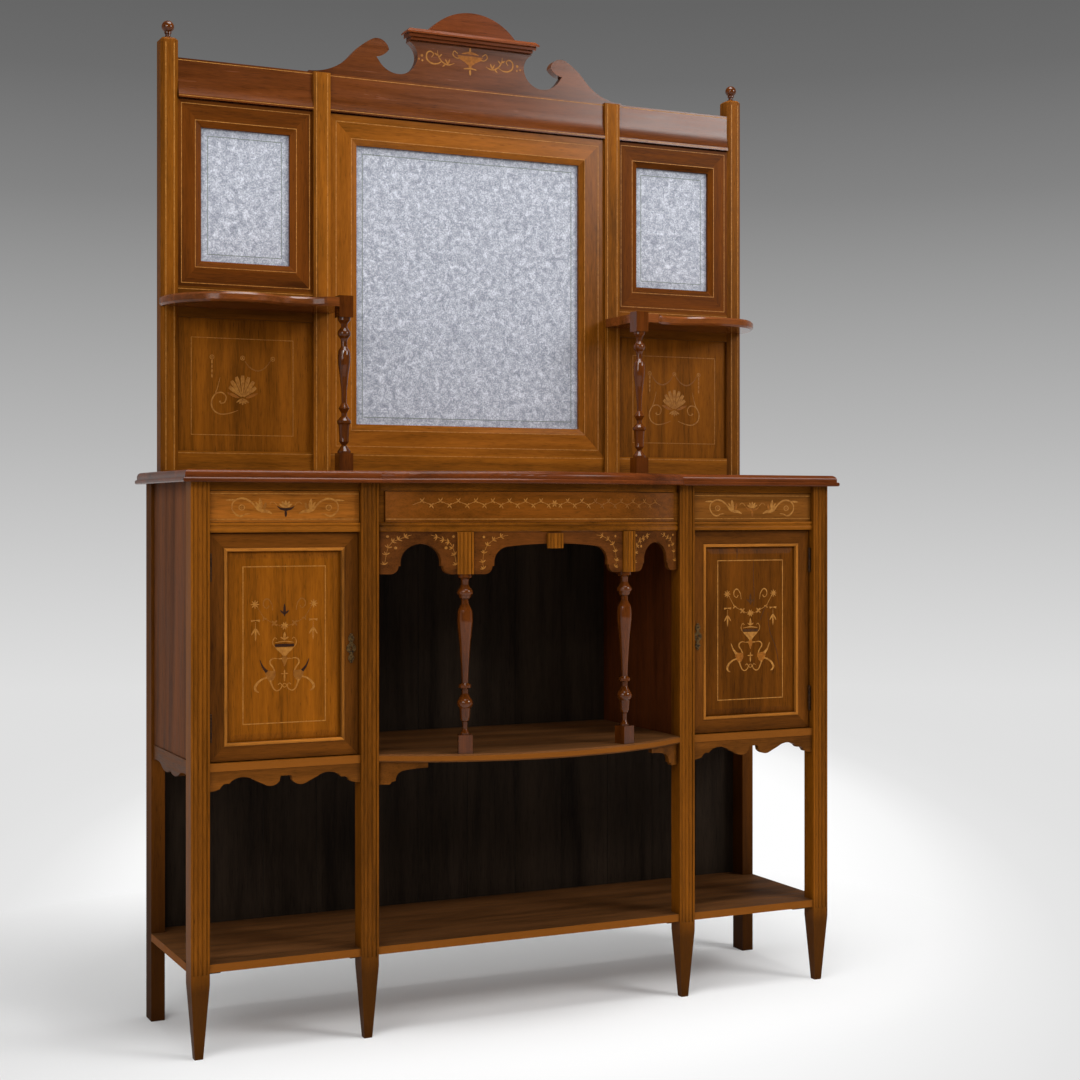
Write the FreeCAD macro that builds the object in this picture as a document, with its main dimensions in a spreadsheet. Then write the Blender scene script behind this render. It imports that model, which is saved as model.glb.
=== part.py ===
"""Inlaid walnut mirror-back chiffonier, millimetres, +Z up.

The front faces -Y and the origin is on the floor at the middle of the plan.
Every driving size is a cell of the sheet Sizes. Heights are above the floor,
and a setback is measured back from the front face of the front legs.
"""
import FreeCAD, Part

import math
import os

from FreeCAD import Placement, Rotation, Vector

SIZES = [
    # The base, in plan
    ("base_width", 1336, "over the outer legs"),
    ("base_depth", 328, "front of the front legs to the back of the back legs"),
    ("leg_side", 34, "square front legs"),
    ("leg_spread", 669, "between the centres of the inner legs"),
    ("back_leg_width", 26, ""),
    ("back_leg_depth", 40, ""),
    ("bow_rise", 92, "how far the middle bay bows forward"),
    ("overhang", 18, "of the top past the legs"),
    ("back_overhang", 8, "of the top past the back boards"),
    # The base, in height
    ("base_height", 1040, "upper face of the top"),
    ("top_thick", 22, ""),
    ("top_round", 9, "rounding of the top's upper edge"),
    ("top_bead", 8, "height of the bead round its lower edge"),
    ("top_bead_proud", 4, ""),
    ("foot_height", 133, "where the legs start to taper"),
    ("foot_side", 15, "of the square foot on the floor"),
    ("reed_start", 150, "lower end of the reeds"),
    ("reed_pitch", 8.4, ""),
    ("reed_depth", 2, ""),
    ("low_shelf_height", 167, "upper face of the full-width shelf"),
    ("low_shelf_thick", 14.5, ""),
    ("frieze_height", 72, "drawer rails to the top"),
    ("cupboard_height", 408, "cupboard floors to the drawer rails"),
    ("floor_thick", 14.5, "cupboard floors and middle shelf"),
    ("rail_thick", 17.5, ""),
    ("rail_depth", 45, ""),
    ("rail_groove", 2, "between the two reeds of the moulded rails"),
    ("dust_board_thick", 8, ""),
    ("frieze_rail_thick", 14, "rails close under the top"),
    ("strip_width", 12, "upright strips beside the middle drawer"),
    # Panels and boards
    ("side_panel_thick", 8, ""),
    ("side_panel_setback", 6, "in from the outer faces of the legs"),
    ("side_rail_rise", 3.5, "shaped side rails above the cupboard floors"),
    ("side_rail_drop", 44, "from their upper edge to the lobes"),
    ("side_rail_thick", 14, ""),
    ("side_rail_setback", 4, ""),
    ("partition_thick", 12, ""),
    ("partition_setback", 1, "out from the inner faces of the inner legs"),
    ("back_board_thick", 9, ""),
    ("back_board_count", 12, "upright boards across the back"),
    ("back_board_gap", 1, ""),
    # Setbacks from the front of the legs
    ("rail_setback", 5, ""),
    ("apron_setback", 6, ""),
    ("fret_setback", 8, "bowed frieze, fret and brackets"),
    ("drawer_setback", 10, ""),
    ("door_setback", 14, ""),
    ("shelf_setback", 3, ""),
    # Aprons, fret and brackets
    ("apron_thick", 12, ""),
    ("apron_drop", 35, "depth of the shaped aprons"),
    ("fret_thick", 10, ""),
    ("fret_drop", 78, "depth of the arcaded fret"),
    ("wide_arch_half", 118, ""),
    ("narrow_arch_half", 34, ""),
    ("narrow_arch_x", 246, "middle of each narrow arch"),
    ("arch_spring", 56, "springing line below the rail"),
    ("arch_crown", 22, "crowns below the rail"),
    ("arch_step", 3.5, "small steps where the arches end"),
    ("bracket_reach", 83, "along the shelf"),
    ("bracket_drop", 42, ""),
    ("block_side", 30, "reeded blocks over the long spindles"),
    ("block_reed_pitch", 7.6, ""),
    ("keystone_width", 31, ""),
    ("keystone_height", 28, ""),
    ("keystone_proud", 6, ""),
    ("keystone_drop", 3, "below the rail"),
    ("spindle_x", 170, "of each long spindle"),
    ("spindle_radius", 14.5, "largest radius of the turned columns"),
    ("spindle_foot", 26, "square foot of the long spindles"),
    ("spindle_foot_height", 34, ""),
    ("corner_block_drop", 9.5, ""),
    ("corner_block_depth", 30, ""),
    # Doors
    ("door_thick", 18, ""),
    ("door_member", 26, "width of the mitred frame"),
    ("door_gap", 1.8, "round a door, but for its hinge side"),
    ("hinge_gap", 3.2, "beside a door where the hinge leaves lie"),
    ("knuckle_gap", 0.4, "of the knuckles from the leg and the door"),
    ("rebate_width", 6, ""),
    ("door_face_layer", 8, "wood in front of the rebate"),
    ("bead_width", 6, ""),
    ("bead_proud", 2, ""),
    ("panel_edge_thick", 6, ""),
    ("panel_border_thick", 2, "border in front of the rebated edge"),
    ("panel_raise", 3, "of the field over its border"),
    ("panel_bevel", 14, ""),
    ("knuckle_radius", 3, ""),
    ("hinge_pin_radius", 1.3, ""),
    ("pin_play", 0.05, "radial, of the pin in its knuckle"),
    ("knuckle_play", 0.4, "between knuckles along the pin"),
    ("leaf_thick", 1.3, ""),
    ("leaf_setback", 0.3, "of the leaves behind the door's face"),
    ("leaf_margin", 2, "of the leaves in front of the door's back"),
    ("hinge_height", 50, ""),
    ("hinge_inset", 60, "door end to hinge middle"),
    ("lock_width", 18, ""),
    ("lock_height", 44, ""),
    ("lock_depth", 14, ""),
    ("lock_drop", 8.5, "keyhole below the middle of the door"),
    ("bolt_length", 15, ""),
    ("bolt_height", 16, ""),
    ("bolt_thick", 6, ""),
    ("bolt_throw", 7, ""),
    ("bolt_play", 0.4, ""),
    ("bolt_setback", 8, "middle of the bolt behind the door's face"),
    ("bolt_rest", 0.3, "the drawn bolt inside the edge of the door"),
    ("mortise_spare", 1, "beyond the end of the shot bolt"),
    ("escutcheon_height", 54, ""),
    ("escutcheon_width", 18, ""),
    ("escutcheon_thick", 1.2, ""),
    ("keyhole_radius", 1.9, ""),
    # Drawers
    ("drawer_gap", 1.2, "beside and above a drawer"),
    ("drawer_lift", 0.5, "under a drawer"),
    ("guide_gap", 0.6, "between a drawer and its guides"),
    ("guide_height", 20, ""),
    ("drawer_front_thick", 16, ""),
    ("drawer_side_thick", 8, ""),
    ("drawer_side_drop", 8, "sides below the front's upper edge"),
    ("drawer_back_gap", 30, "drawers short of the back boards"),
    ("drawer_bottom_thick", 5, ""),
    ("drawer_bottom_lift", 4, ""),
    # The mirror back
    ("back_setback", 300, "front face of the posts and stiles"),
    ("post_side", 34, ""),
    ("post_spread", 1258, "between the centres of the posts"),
    ("post_rise", 36, "posts above the head rails"),
    ("post_chamfer", 4, "round the top of a post"),
    ("post_cant", 6, "of the two front corners of a post"),
    ("stile_width", 35, ""),
    ("stile_depth", 30, ""),
    ("stile_spread", 649, "between the centres of the stiles"),
    ("back_height", 796, "top board to the upper edge of the head rails"),
    ("head_rail_width", 76, ""),
    ("head_lip", 6, "the lower edge of the head rails in front of their faces"),
    ("panel_setback", 6, "rails and frames behind the faces of the posts"),
    ("back_rail_thick", 22, ""),
    ("base_rail_width", 43, ""),
    ("niche_height", 300, "top board to the cross rails"),
    ("cross_rail_width", 59, ""),
    ("niche_panel_setback", 12, "behind the faces of the posts"),
    ("niche_panel_thick", 8, ""),
    ("frame_thick", 20, ""),
    ("frame_gap", 3, "shadow line under the head rails"),
    ("frame_gap_depth", 8, ""),
    ("centre_member", 58, "width of the middle mirror's frame"),
    ("side_member", 46, "width of the side mirrors' upright members"),
    ("side_head_member", 50, "width of their upper and lower members"),
    ("frame_slope", 4, "drop of the moulding to the glass"),
    ("frame_slope_width", 12, "of the moulding along the glass"),
    ("glass_thick", 5, ""),
    ("glass_bevel", 14, ""),
    ("glass_bevel_drop", 1.5, ""),
    ("backboard_thick", 4, ""),
    ("niche_shelf_lift", 18, "above the lower edge of the cross rails"),
    ("niche_shelf_thick", 17.5, ""),
    ("niche_shelf_reach", 137, "in front of the posts"),
    ("niche_shelf_end", 650, "outer end, from the middle"),
    ("niche_shelf_square", 24, "straight stretch beside the block"),
    ("niche_block", 28, "square blocks of the short spindles"),
    ("niche_block_inset", 2, "middle of the blocks inside that of the stiles"),
    ("niche_block_above", 4, "block above the shelf"),
    ("niche_block_below", 20, "block below the shelf"),
    ("niche_foot_height", 38, ""),
    ("finial_neck", 13, ""),
    ("finial_ball", 12, "radius"),
    ("pediment_height", 86, ""),
    ("pediment_thick", 20, ""),
    ("pediment_half", 350, ""),
    ("cap_half", 147, ""),
    ("cap_thick", 22, ""),
    ("cap_step", 5.5, "inset of each of its two lower steps"),
    ("cap_depth", 38, ""),
    ("arch_half", 97, ""),
    ("arch_rise", 46, ""),
    ("arch_depth", 26, ""),
]

doc = FreeCAD.newDocument("Chiffonier")
sheet = doc.addObject("Spreadsheet::Sheet", "Sizes")
for row, (alias, number, note) in enumerate(SIZES, start=1):
    sheet.set(f"A{row}", alias)
    sheet.set(f"B{row}", str(number))
    sheet.setAlias(f"B{row}", alias)
    sheet.set(f"C{row}", note)
doc.recompute()


class Dim:
    """A length that carries both its number and the expression behind it."""

    def __init__(self, number, text):
        self.number = float(number)
        self.text = text

    def __float__(self):
        return self.number

    def __add__(self, other):
        other = dim(other)
        return Dim(self.number + other.number, f"({self.text} + {other.text})")

    __radd__ = __add__

    def __neg__(self):
        return Dim(-self.number, f"(-1 * {self.text})")

    def __sub__(self, other):
        return self + -dim(other)

    def __rsub__(self, other):
        return dim(other) + -self

    def __mul__(self, other):
        other = dim(other)
        return Dim(self.number * other.number, f"({self.text} * {other.text})")

    __rmul__ = __mul__

    def __truediv__(self, other):
        other = dim(other)
        return Dim(self.number / other.number, f"({self.text} / {other.text})")


def dim(value):
    """Turn a plain number into a Dim; a Dim passes through."""
    if isinstance(value, Dim):
        return value
    return Dim(value, f"({float(value)})")


class Sheet:
    """The sheet's cells by their aliases, as Dims."""


s = Sheet()
for alias, _, _ in SIZES:
    setattr(s, alias, Dim(getattr(sheet, alias), f"Sizes.{alias}"))

# ---- Places worked out from the sizes ----

FRONT = (s.overhang + s.bow_rise - s.base_depth - s.back_board_thick - s.back_overhang) / 2
BACK_LEG_FRONT = FRONT + s.base_depth - s.back_leg_depth
CARCASS_BACK = FRONT + s.base_depth

OUTER_X = s.base_width / 2
OUTER_LEG_X = OUTER_X - s.leg_side / 2
INNER_LEG_X = s.leg_spread / 2
BAY_OUTER_X = OUTER_X - s.leg_side
BAY_INNER_X = INNER_LEG_X + s.leg_side / 2
RECESS_X = INNER_LEG_X - s.leg_side / 2
PARTITION_X = RECESS_X + s.partition_setback
PANEL_OUTER_X = OUTER_X - s.side_panel_setback
PANEL_INNER_X = PANEL_OUTER_X - s.side_panel_thick
SIDE_RAIL_INNER_X = OUTER_X - s.side_rail_setback - s.side_rail_thick
BAY_BACK_X = OUTER_X - s.back_leg_width

TOP_UNDER = s.base_height - s.top_thick
FRIEZE_TOP = TOP_UNDER - s.frieze_rail_thick
RAIL_TOP = TOP_UNDER - s.frieze_height
RAIL_UNDER = RAIL_TOP - s.rail_thick
FLOOR_TOP = RAIL_UNDER - s.cupboard_height
FLOOR_UNDER = FLOOR_TOP - s.floor_thick
SIDE_RAIL_TOP = FLOOR_TOP + s.side_rail_rise
LOW_SHELF_UNDER = s.low_shelf_height - s.low_shelf_thick
LOCK_LEVEL = FLOOR_TOP + s.cupboard_height / 2 - s.lock_drop

# The bow is an arc through the inner corners of the inner legs.
BOW_RADIUS = (RECESS_X * RECESS_X + s.bow_rise * s.bow_rise) / (2 * s.bow_rise)
BOW_CENTRE_Y = FRONT - s.bow_rise + BOW_RADIUS

BACK_FRONT = FRONT + s.back_setback
PANEL_FRONT = BACK_FRONT + s.panel_setback
STILE_INNER_X = s.stile_spread / 2 - s.stile_width / 2
STILE_OUTER_X = s.stile_spread / 2 + s.stile_width / 2
POST_X = s.post_spread / 2
POST_INNER_X = POST_X - s.post_side / 2
BASE_RAIL_TOP = s.base_height + s.base_rail_width
CROSS_RAIL_UNDER = s.base_height + s.niche_height
CROSS_RAIL_TOP = CROSS_RAIL_UNDER + s.cross_rail_width
NICHE_SHELF_UNDER = CROSS_RAIL_UNDER + s.niche_shelf_lift
HEAD_TOP = s.base_height + s.back_height
HEAD_UNDER = HEAD_TOP - s.head_rail_width
POST_TOP = HEAD_TOP + s.post_rise
FRAME_TOP = HEAD_UNDER - s.frame_gap


def bow_y(x, setback):
    """Where the arc that lies a setback behind the bow crosses a given x."""
    radius = float(BOW_RADIUS - setback)
    return float(BOW_CENTRE_Y) - math.sqrt(radius ** 2 - float(x) ** 2)


# ---- Building blocks ----

PLANES = {"XY": ("XY_Plane", 1), "XZ": ("XZ_Plane", -1), "YZ": ("YZ_Plane", 1)}


def box(name, x, y, z):
    """A board; x, y and z are its (low, high) limits."""
    board = doc.addObject("Part::Box", name)
    for axis, size, (low, high) in zip("xyz", ("Length", "Width", "Height"), (x, y, z)):
        board.setExpression(size, (dim(high) - low).text)
        board.setExpression(f"Placement.Base.{axis}", dim(low).text)
    return board


def cylinder(name, radius, x, y, z):
    """An upright cylinder between the two heights in z."""
    round_bar = doc.addObject("Part::Cylinder", name)
    low, high = z
    round_bar.setExpression("Radius", dim(radius).text)
    round_bar.setExpression("Height", (dim(high) - low).text)
    for axis, place in zip("xyz", (x, y, low)):
        round_bar.setExpression(f"Placement.Base.{axis}", dim(place).text)
    return round_bar


def boolean(kind, name, base, tool):
    """A Part boolean (Cut or Common) of two objects."""
    result = doc.addObject(f"Part::{kind}", name)
    result.Base = base
    result.Tool = tool
    return result


def fuse(name, shapes):
    """Several touching shapes as one solid."""
    result = doc.addObject("Part::MultiFuse", name)
    result.Shapes = shapes
    return result


def mirrored(name, source):
    """The same piece on the other side of the middle plane."""
    twin = doc.addObject("Part::Mirroring", name)
    twin.Source = source
    twin.Normal = Vector(1, 0, 0)
    return twin


def group(name, members):
    """Separate pieces of one kind, kept together."""
    bundle = doc.addObject("Part::Compound", name)
    bundle.Links = members
    return bundle


def pair(name, source):
    """A piece and its mirror twin."""
    return group(name, [source, mirrored(name + "_twin", source)])


def edges_along(path):
    """Closed edges through a path; a third number bows a stretch to its left."""
    points = [Vector(float(p[0]), float(p[1]), 0) for p in path]
    edges = []
    for start, end, step in zip(points, points[1:] + points[:1], path[1:] + path[:1]):
        if len(step) == 2:
            edges.append(Part.LineSegment(start, end))
            continue
        chord = end - start
        left = Vector(-chord.y, chord.x, 0).normalize()
        middle = (start + end) * 0.5 + left * float(step[2])
        edges.append(Part.Arc(start, middle, end))
    return edges


def rectangle(x, y):
    """The path of a rectangle from its (low, high) limits."""
    return [(x[0], y[0]), (x[1], y[0]), (x[1], y[1]), (x[0], y[1])]


def new_body(name):
    return doc.addObject("PartDesign::Body", name)


def sketch(body, plane, level, path):
    """A closed outline on one of the body's own planes, lifted to a level."""
    role, sign = PLANES[plane]
    drawing = body.newObject("Sketcher::SketchObject", body.Name + "_outline")
    support = [item for item in body.Origin.OriginFeatures if item.Role == role]
    drawing.AttachmentSupport = (support[0], "")
    drawing.MapMode = "FlatFace"
    drawing.setExpression("AttachmentOffset.Base.z", (dim(level) * sign).text)
    drawing.addGeometry(edges_along(path), False)
    return drawing


def pad(body, plane, low, high, path):
    """Thicken an outline between two levels along the plane's axis."""
    start = high if plane == "XZ" else low
    feature = body.newObject("PartDesign::Pad", body.Name + "_pad")
    feature.Profile = sketch(body, plane, start, path)
    feature.setExpression("Length", (dim(high) - low).text)
    return feature


def pocket(body, plane, low, high, path):
    """Cut an outline out of the body between two levels."""
    doc.recompute()
    before = body.Shape.Volume
    start = low if plane == "XZ" else high
    feature = body.newObject("PartDesign::Pocket", body.Name + "_pocket")
    feature.Profile = sketch(body, plane, start, path)
    feature.setExpression("Length", (dim(high) - low).text)
    doc.recompute()
    if body.Shape.Volume > before - 1:
        raise RuntimeError(body.Name + ": a pocket cuts nothing")
    return feature


def taper(body, plane, low, high, low_path, high_path):
    """Blend one outline into another between two levels along the plane's axis."""
    feature = body.newObject("PartDesign::AdditiveLoft", body.Name + "_taper")
    feature.Profile = sketch(body, plane, low, low_path)
    feature.Sections = [sketch(body, plane, high, high_path)]
    feature.Ruled = True
    return feature


def padded(name, plane, low, high, path):
    """A body made of one padded outline."""
    body = new_body(name)
    pad(body, plane, low, high, path)
    return body


def edge_names(shape, wanted):
    """Names of the edges for which wanted(edge) holds."""
    return [f"Edge{i}" for i, edge in enumerate(shape.Edges, start=1) if wanted(edge)]


def round_edges(body, radius, wanted):
    """Fillet the body's edges for which wanted(edge) holds."""
    doc.recompute()
    tip = body.Tip
    feature = body.newObject("PartDesign::Fillet", body.Name + "_fillet")
    feature.Base = (tip, edge_names(tip.Shape, wanted))
    feature.setExpression("Radius", dim(radius).text)
    return feature


def bevel_edges(body, width, drop, wanted):
    """Bevel edges between two faces with two distances."""
    doc.recompute()
    tip = body.Tip
    feature = body.newObject("PartDesign::Chamfer", body.Name + "_chamfer")
    feature.Base = (tip, edge_names(tip.Shape, wanted))
    feature.ChamferType = "Two distances"
    feature.setExpression("Size", dim(width).text)
    feature.setExpression("Size2", dim(drop).text)
    return feature


def turn(body, profile):
    """Turn a half profile of (radius, height) points about the upright axis."""
    feature = body.newObject("PartDesign::Revolution", body.Name + "_turning")
    drawing = sketch(body, "XZ", 0, profile)
    feature.Profile = drawing
    feature.ReferenceAxis = (drawing, ["V_Axis"])
    feature.Angle = 360
    return feature


def place(item, x, y, z=0, angle=0):
    """Set an object down at a point, turned about the upright axis by degrees."""
    spot = Vector(float(x), float(y), float(z))
    item.Placement = Placement(spot, Rotation(Vector(0, 0, 1), angle))
    return item


def flat_at(axis, level):
    """A test for edges that lie in one plane across an axis."""
    index = "XYZ".index(axis)

    def wanted(edge):
        limits = edge.BoundBox
        low = (limits.XMin, limits.YMin, limits.ZMin)[index]
        high = (limits.XMax, limits.YMax, limits.ZMax)[index]
        return abs(low - float(level)) < 0.01 and abs(high - float(level)) < 0.01

    return wanted


# ---- Legs ----


def reeded_square(side, pitch):
    """A square section with three reeds along its front (low y) side."""
    half = side / 2
    sunk = s.reed_depth - half
    path = [(-half, half), (-half, -half), (-1.5 * pitch, -half), (-1.5 * pitch, sunk)]
    path += [(edge * pitch, sunk, -s.reed_depth) for edge in (-0.5, 0.5, 1.5)]
    path += [(1.5 * pitch, -half), (half, -half), (half, half)]
    return path


def square(side):
    return rectangle((-side / 2, side / 2), (-side / 2, side / 2))


def front_leg(name, x, mortise_side):
    """A reeded leg with a tapered foot; mortise_side is -1, 0 or 1."""
    body = new_body(name)
    pad(body, "XY", s.reed_start, TOP_UNDER, reeded_square(s.leg_side, s.reed_pitch))
    pad(body, "XY", s.foot_height, s.reed_start, square(s.leg_side))
    taper(body, "XY", 0, s.foot_height, square(s.foot_side), square(s.leg_side))
    if mortise_side:
        half = s.leg_side / 2
        reach = s.bolt_throw + 2 * s.bolt_play + s.mortise_spare
        x_limits = sorted((mortise_side * half, mortise_side * (half - reach)), key=float)
        middle = s.door_setback + s.bolt_setback - half
        y_half = s.bolt_thick / 2 + s.bolt_play
        z_half = s.bolt_height / 2 + s.bolt_play
        pocket(body, "XY", LOCK_LEVEL - z_half, LOCK_LEVEL + z_half,
               rectangle(x_limits, (middle - y_half, middle + y_half)))
    return place(body, x, FRONT + s.leg_side / 2)


# ---- Carcass ----


def back_leg():
    return box("back_leg", (BAY_BACK_X, OUTER_X), (BACK_LEG_FRONT, CARCASS_BACK), (0, TOP_UNDER))


def side_panel():
    return box("side_panel", (PANEL_INNER_X, PANEL_OUTER_X),
               (FRONT + s.leg_side, BACK_LEG_FRONT), (SIDE_RAIL_TOP, TOP_UNDER))


def side_apron():
    """The rail under a side panel, with two lobes cut in its lower edge."""
    front = FRONT + s.leg_side
    middle = (front + BACK_LEG_FRONT) / 2
    half = (BACK_LEG_FRONT - front) / 2
    drop = s.side_rail_drop
    shape = [(-1, 0), (-1, 0.64), (-0.56, 0.64, 0.07), (0, 0.75, -0.18), (0.56, 0.64, -0.18),
             (1, 0.64, 0.07), (1, 0)]
    path = [(middle + y * half, SIDE_RAIL_TOP - z * drop, *(b * drop for b in bend))
            for y, z, *bend in shape]
    return padded("side_apron", "YZ", SIDE_RAIL_INNER_X, OUTER_X - s.side_rail_setback, path)


def partition():
    return box("partition", (PARTITION_X, PARTITION_X + s.partition_thick),
               (FRONT + s.leg_side, CARCASS_BACK), (FLOOR_UNDER, TOP_UNDER))


def cupboard_floor():
    """A board notched round the legs, from the side panel to the partition."""
    inner = PARTITION_X + s.partition_thick
    leg_back = FRONT + s.leg_side
    path = [
        (BAY_INNER_X, FRONT + s.rail_setback), (BAY_OUTER_X, FRONT + s.rail_setback),
        (BAY_OUTER_X, leg_back), (SIDE_RAIL_INNER_X, leg_back),
        (SIDE_RAIL_INNER_X, BACK_LEG_FRONT), (BAY_BACK_X, BACK_LEG_FRONT),
        (BAY_BACK_X, CARCASS_BACK), (inner, CARCASS_BACK), (inner, leg_back),
        (BAY_INNER_X, leg_back),
    ]
    return padded("cupboard_floor", "XY", FLOOR_UNDER, FLOOR_TOP, path)


def side_dust_board():
    """The board that a side drawer runs on, behind its moulded rail."""
    inner = PARTITION_X + s.partition_thick
    front = FRONT + s.rail_setback + s.rail_depth
    path = [
        (inner, front), (PANEL_INNER_X, front), (PANEL_INNER_X, BACK_LEG_FRONT),
        (BAY_BACK_X, BACK_LEG_FRONT), (BAY_BACK_X, CARCASS_BACK), (inner, CARCASS_BACK),
    ]
    return padded("side_dust_board", "XY", RAIL_TOP - s.dust_board_thick, RAIL_TOP, path)


def bow_path(half_width, setback, back_y):
    """A board with a bowed front edge and straight sides and back."""
    y = bow_y(half_width, setback)
    rise = y - (float(BOW_CENTRE_Y) - float(BOW_RADIUS - setback))
    return [(half_width, back_y), (-half_width, back_y), (-half_width, y), (half_width, y, -rise)]


def bow_ring(half_width, setback, depth):
    """A curved rail of constant depth along the bow."""
    outer_y = bow_y(half_width, setback)
    inner_y = bow_y(half_width, setback + depth)
    outer_rise = outer_y - (float(BOW_CENTRE_Y) - float(BOW_RADIUS - setback))
    inner_rise = inner_y - (float(BOW_CENTRE_Y) - float(BOW_RADIUS - setback - depth))
    return [(half_width, inner_y), (-half_width, inner_y, inner_rise),
            (-half_width, outer_y), (half_width, outer_y, -outer_rise)]


def drawer_guides():
    """Strips on the dust boards that keep the drawers straight."""
    strips = {
        "inner": (PARTITION_X + s.partition_thick, BAY_INNER_X + s.drawer_gap - s.guide_gap),
        "outer": (BAY_OUTER_X - s.drawer_gap + s.guide_gap, PANEL_INNER_X),
        "middle": (RECESS_X - s.strip_width - s.drawer_gap + s.guide_gap, PARTITION_X),
    }
    z = (RAIL_TOP, RAIL_TOP + s.guide_height)
    guides = []
    for where, x in strips.items():
        guide = box(f"guide_{where}", x, (FRONT + s.leg_side, BACK_LEG_FRONT), z)
        guides += [guide, mirrored(f"guide_{where}_twin", guide)]
    return guides


def centre_dust_board():
    """The board under the middle drawer, behind the bowed rail."""
    return padded("centre_dust_board", "XY", RAIL_TOP - s.dust_board_thick, RAIL_TOP,
                  bow_path(PARTITION_X, s.rail_setback + s.rail_depth, CARCASS_BACK))


RAIL_GROOVE_LOW = RAIL_UNDER + s.rail_thick * 0.55
RAIL_GROOVE_HIGH = RAIL_GROOVE_LOW + s.rail_groove


def moulded_rail():
    """A straight rail with two reeds along its front, seen from its end."""
    front = FRONT + s.rail_setback
    groove = front + s.rail_groove
    reed = -s.rail_groove
    path = [
        (groove, RAIL_UNDER, reed), (front + s.rail_depth, RAIL_UNDER),
        (front + s.rail_depth, RAIL_TOP), (groove, RAIL_TOP), (groove, RAIL_GROOVE_HIGH, reed),
        (groove, RAIL_GROOVE_LOW),
    ]
    return padded("moulded_rail", "YZ", BAY_INNER_X, BAY_OUTER_X, path)


def bow_rail():
    """The same rail carried round the bow, its reeds bevelled."""
    body = new_body("bow_rail")
    ring = bow_ring(RECESS_X, s.rail_setback, s.rail_depth)
    groove = bow_ring(RECESS_X, s.rail_setback + s.rail_groove, s.rail_depth - s.rail_groove)
    pad(body, "XY", RAIL_UNDER, RAIL_GROOVE_LOW, ring)
    pad(body, "XY", RAIL_GROOVE_LOW, RAIL_GROOVE_HIGH, groove)
    pad(body, "XY", RAIL_GROOVE_HIGH, RAIL_TOP, ring)
    bevel = s.rail_groove * 0.7
    bevel_edges(body, bevel, bevel, front_arcs(s.rail_setback))
    return body


def front_arcs(setback):
    """A test for the upper and lower edges of a bowed front."""
    radius = float(BOW_RADIUS - setback)

    def wanted(edge):
        circle = getattr(edge.Curve, "Radius", 0)
        return abs(circle - radius) < 0.01

    return wanted


def frieze_rails():
    """Thin rails close under the top and the upright strips beside the middle drawer."""
    front = FRONT + s.drawer_setback
    straight = box("frieze_rail", (BAY_INNER_X, BAY_OUTER_X), (front, front + s.rail_depth),
                   (FRIEZE_TOP, TOP_UNDER))
    bowed = padded("frieze_rail_bowed", "XY", FRIEZE_TOP, TOP_UNDER,
                   bow_ring(RECESS_X, s.fret_setback, s.rail_depth))
    strip_y = bow_y(RECESS_X - s.strip_width / 2, s.fret_setback)
    strip = box("frieze_strip", (RECESS_X - s.strip_width, RECESS_X),
                (strip_y, strip_y + s.drawer_front_thick), (RAIL_TOP, FRIEZE_TOP))
    return group("frieze_rails", [straight, mirrored("frieze_rail_twin", straight), bowed,
                                  strip, mirrored("frieze_strip_twin", strip)])


def top_board():
    """The top: straight over the cupboards and bowed over the recess."""
    back = CARCASS_BACK + s.back_board_thick + s.back_overhang
    bead_top = TOP_UNDER + s.top_bead
    bevel = s.top_bead * 0.25

    def rims(*levels):
        return lambda edge: (any(flat_at("Z", level)(edge) for level in levels)
                             and not flat_at("Y", back)(edge))

    body = padded("top_board", "XY", TOP_UNDER, bead_top, top_outline(0, back))
    bevel_edges(body, bevel, bevel, rims(TOP_UNDER, bead_top))
    pad(body, "XY", bead_top, s.base_height, top_outline(s.top_bead_proud, back))
    round_edges(body, s.top_round, rims(s.base_height))
    return body


def top_outline(inset, back):
    """The outline of the top, or of a layer that stands back from its edge."""
    side = OUTER_X + s.overhang - inset
    front = FRONT - s.overhang + inset
    return [(side, back), (-side, back), (-side, front), (-RECESS_X, front),
            (RECESS_X, front, -s.bow_rise), (side, front)]


def bottom_shelf():
    """The full-width shelf near the floor, notched round all six legs."""
    front = FRONT + s.shelf_setback
    leg_back = FRONT + s.leg_side
    right = [
        (RECESS_X, front), (RECESS_X, leg_back), (BAY_INNER_X, leg_back), (BAY_INNER_X, front),
        (BAY_OUTER_X, front), (BAY_OUTER_X, leg_back), (OUTER_X, leg_back),
        (OUTER_X, BACK_LEG_FRONT), (BAY_BACK_X, BACK_LEG_FRONT), (BAY_BACK_X, CARCASS_BACK),
    ]
    left = [(-x, y) for x, y in reversed(right)]
    return padded("bottom_shelf", "XY", LOW_SHELF_UNDER, s.low_shelf_height, right + left)


def corner_blocks():
    """Blocks glued under the low shelf, close behind the front legs."""
    front = FRONT + s.leg_side
    slope = s.corner_block_drop
    low = LOW_SHELF_UNDER - s.corner_block_drop
    limits = {
        "inner": (INNER_LEG_X - s.leg_side * 1.05, INNER_LEG_X + s.leg_side * 1.05),
        "outer": (BAY_OUTER_X - s.leg_side * 1.1, OUTER_X - s.side_panel_setback),
    }
    blocks = []
    for where, (start, end) in limits.items():
        path = [(start, LOW_SHELF_UNDER), (end, LOW_SHELF_UNDER), (end - slope, low),
                (start + slope, low)]
        blocks.append(padded("corner_block_" + where, "XZ", front,
                             front + s.corner_block_depth, path))
    twins = [mirrored(block.Name + "_twin", block) for block in blocks]
    return group("corner_blocks", blocks + twins)


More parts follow.
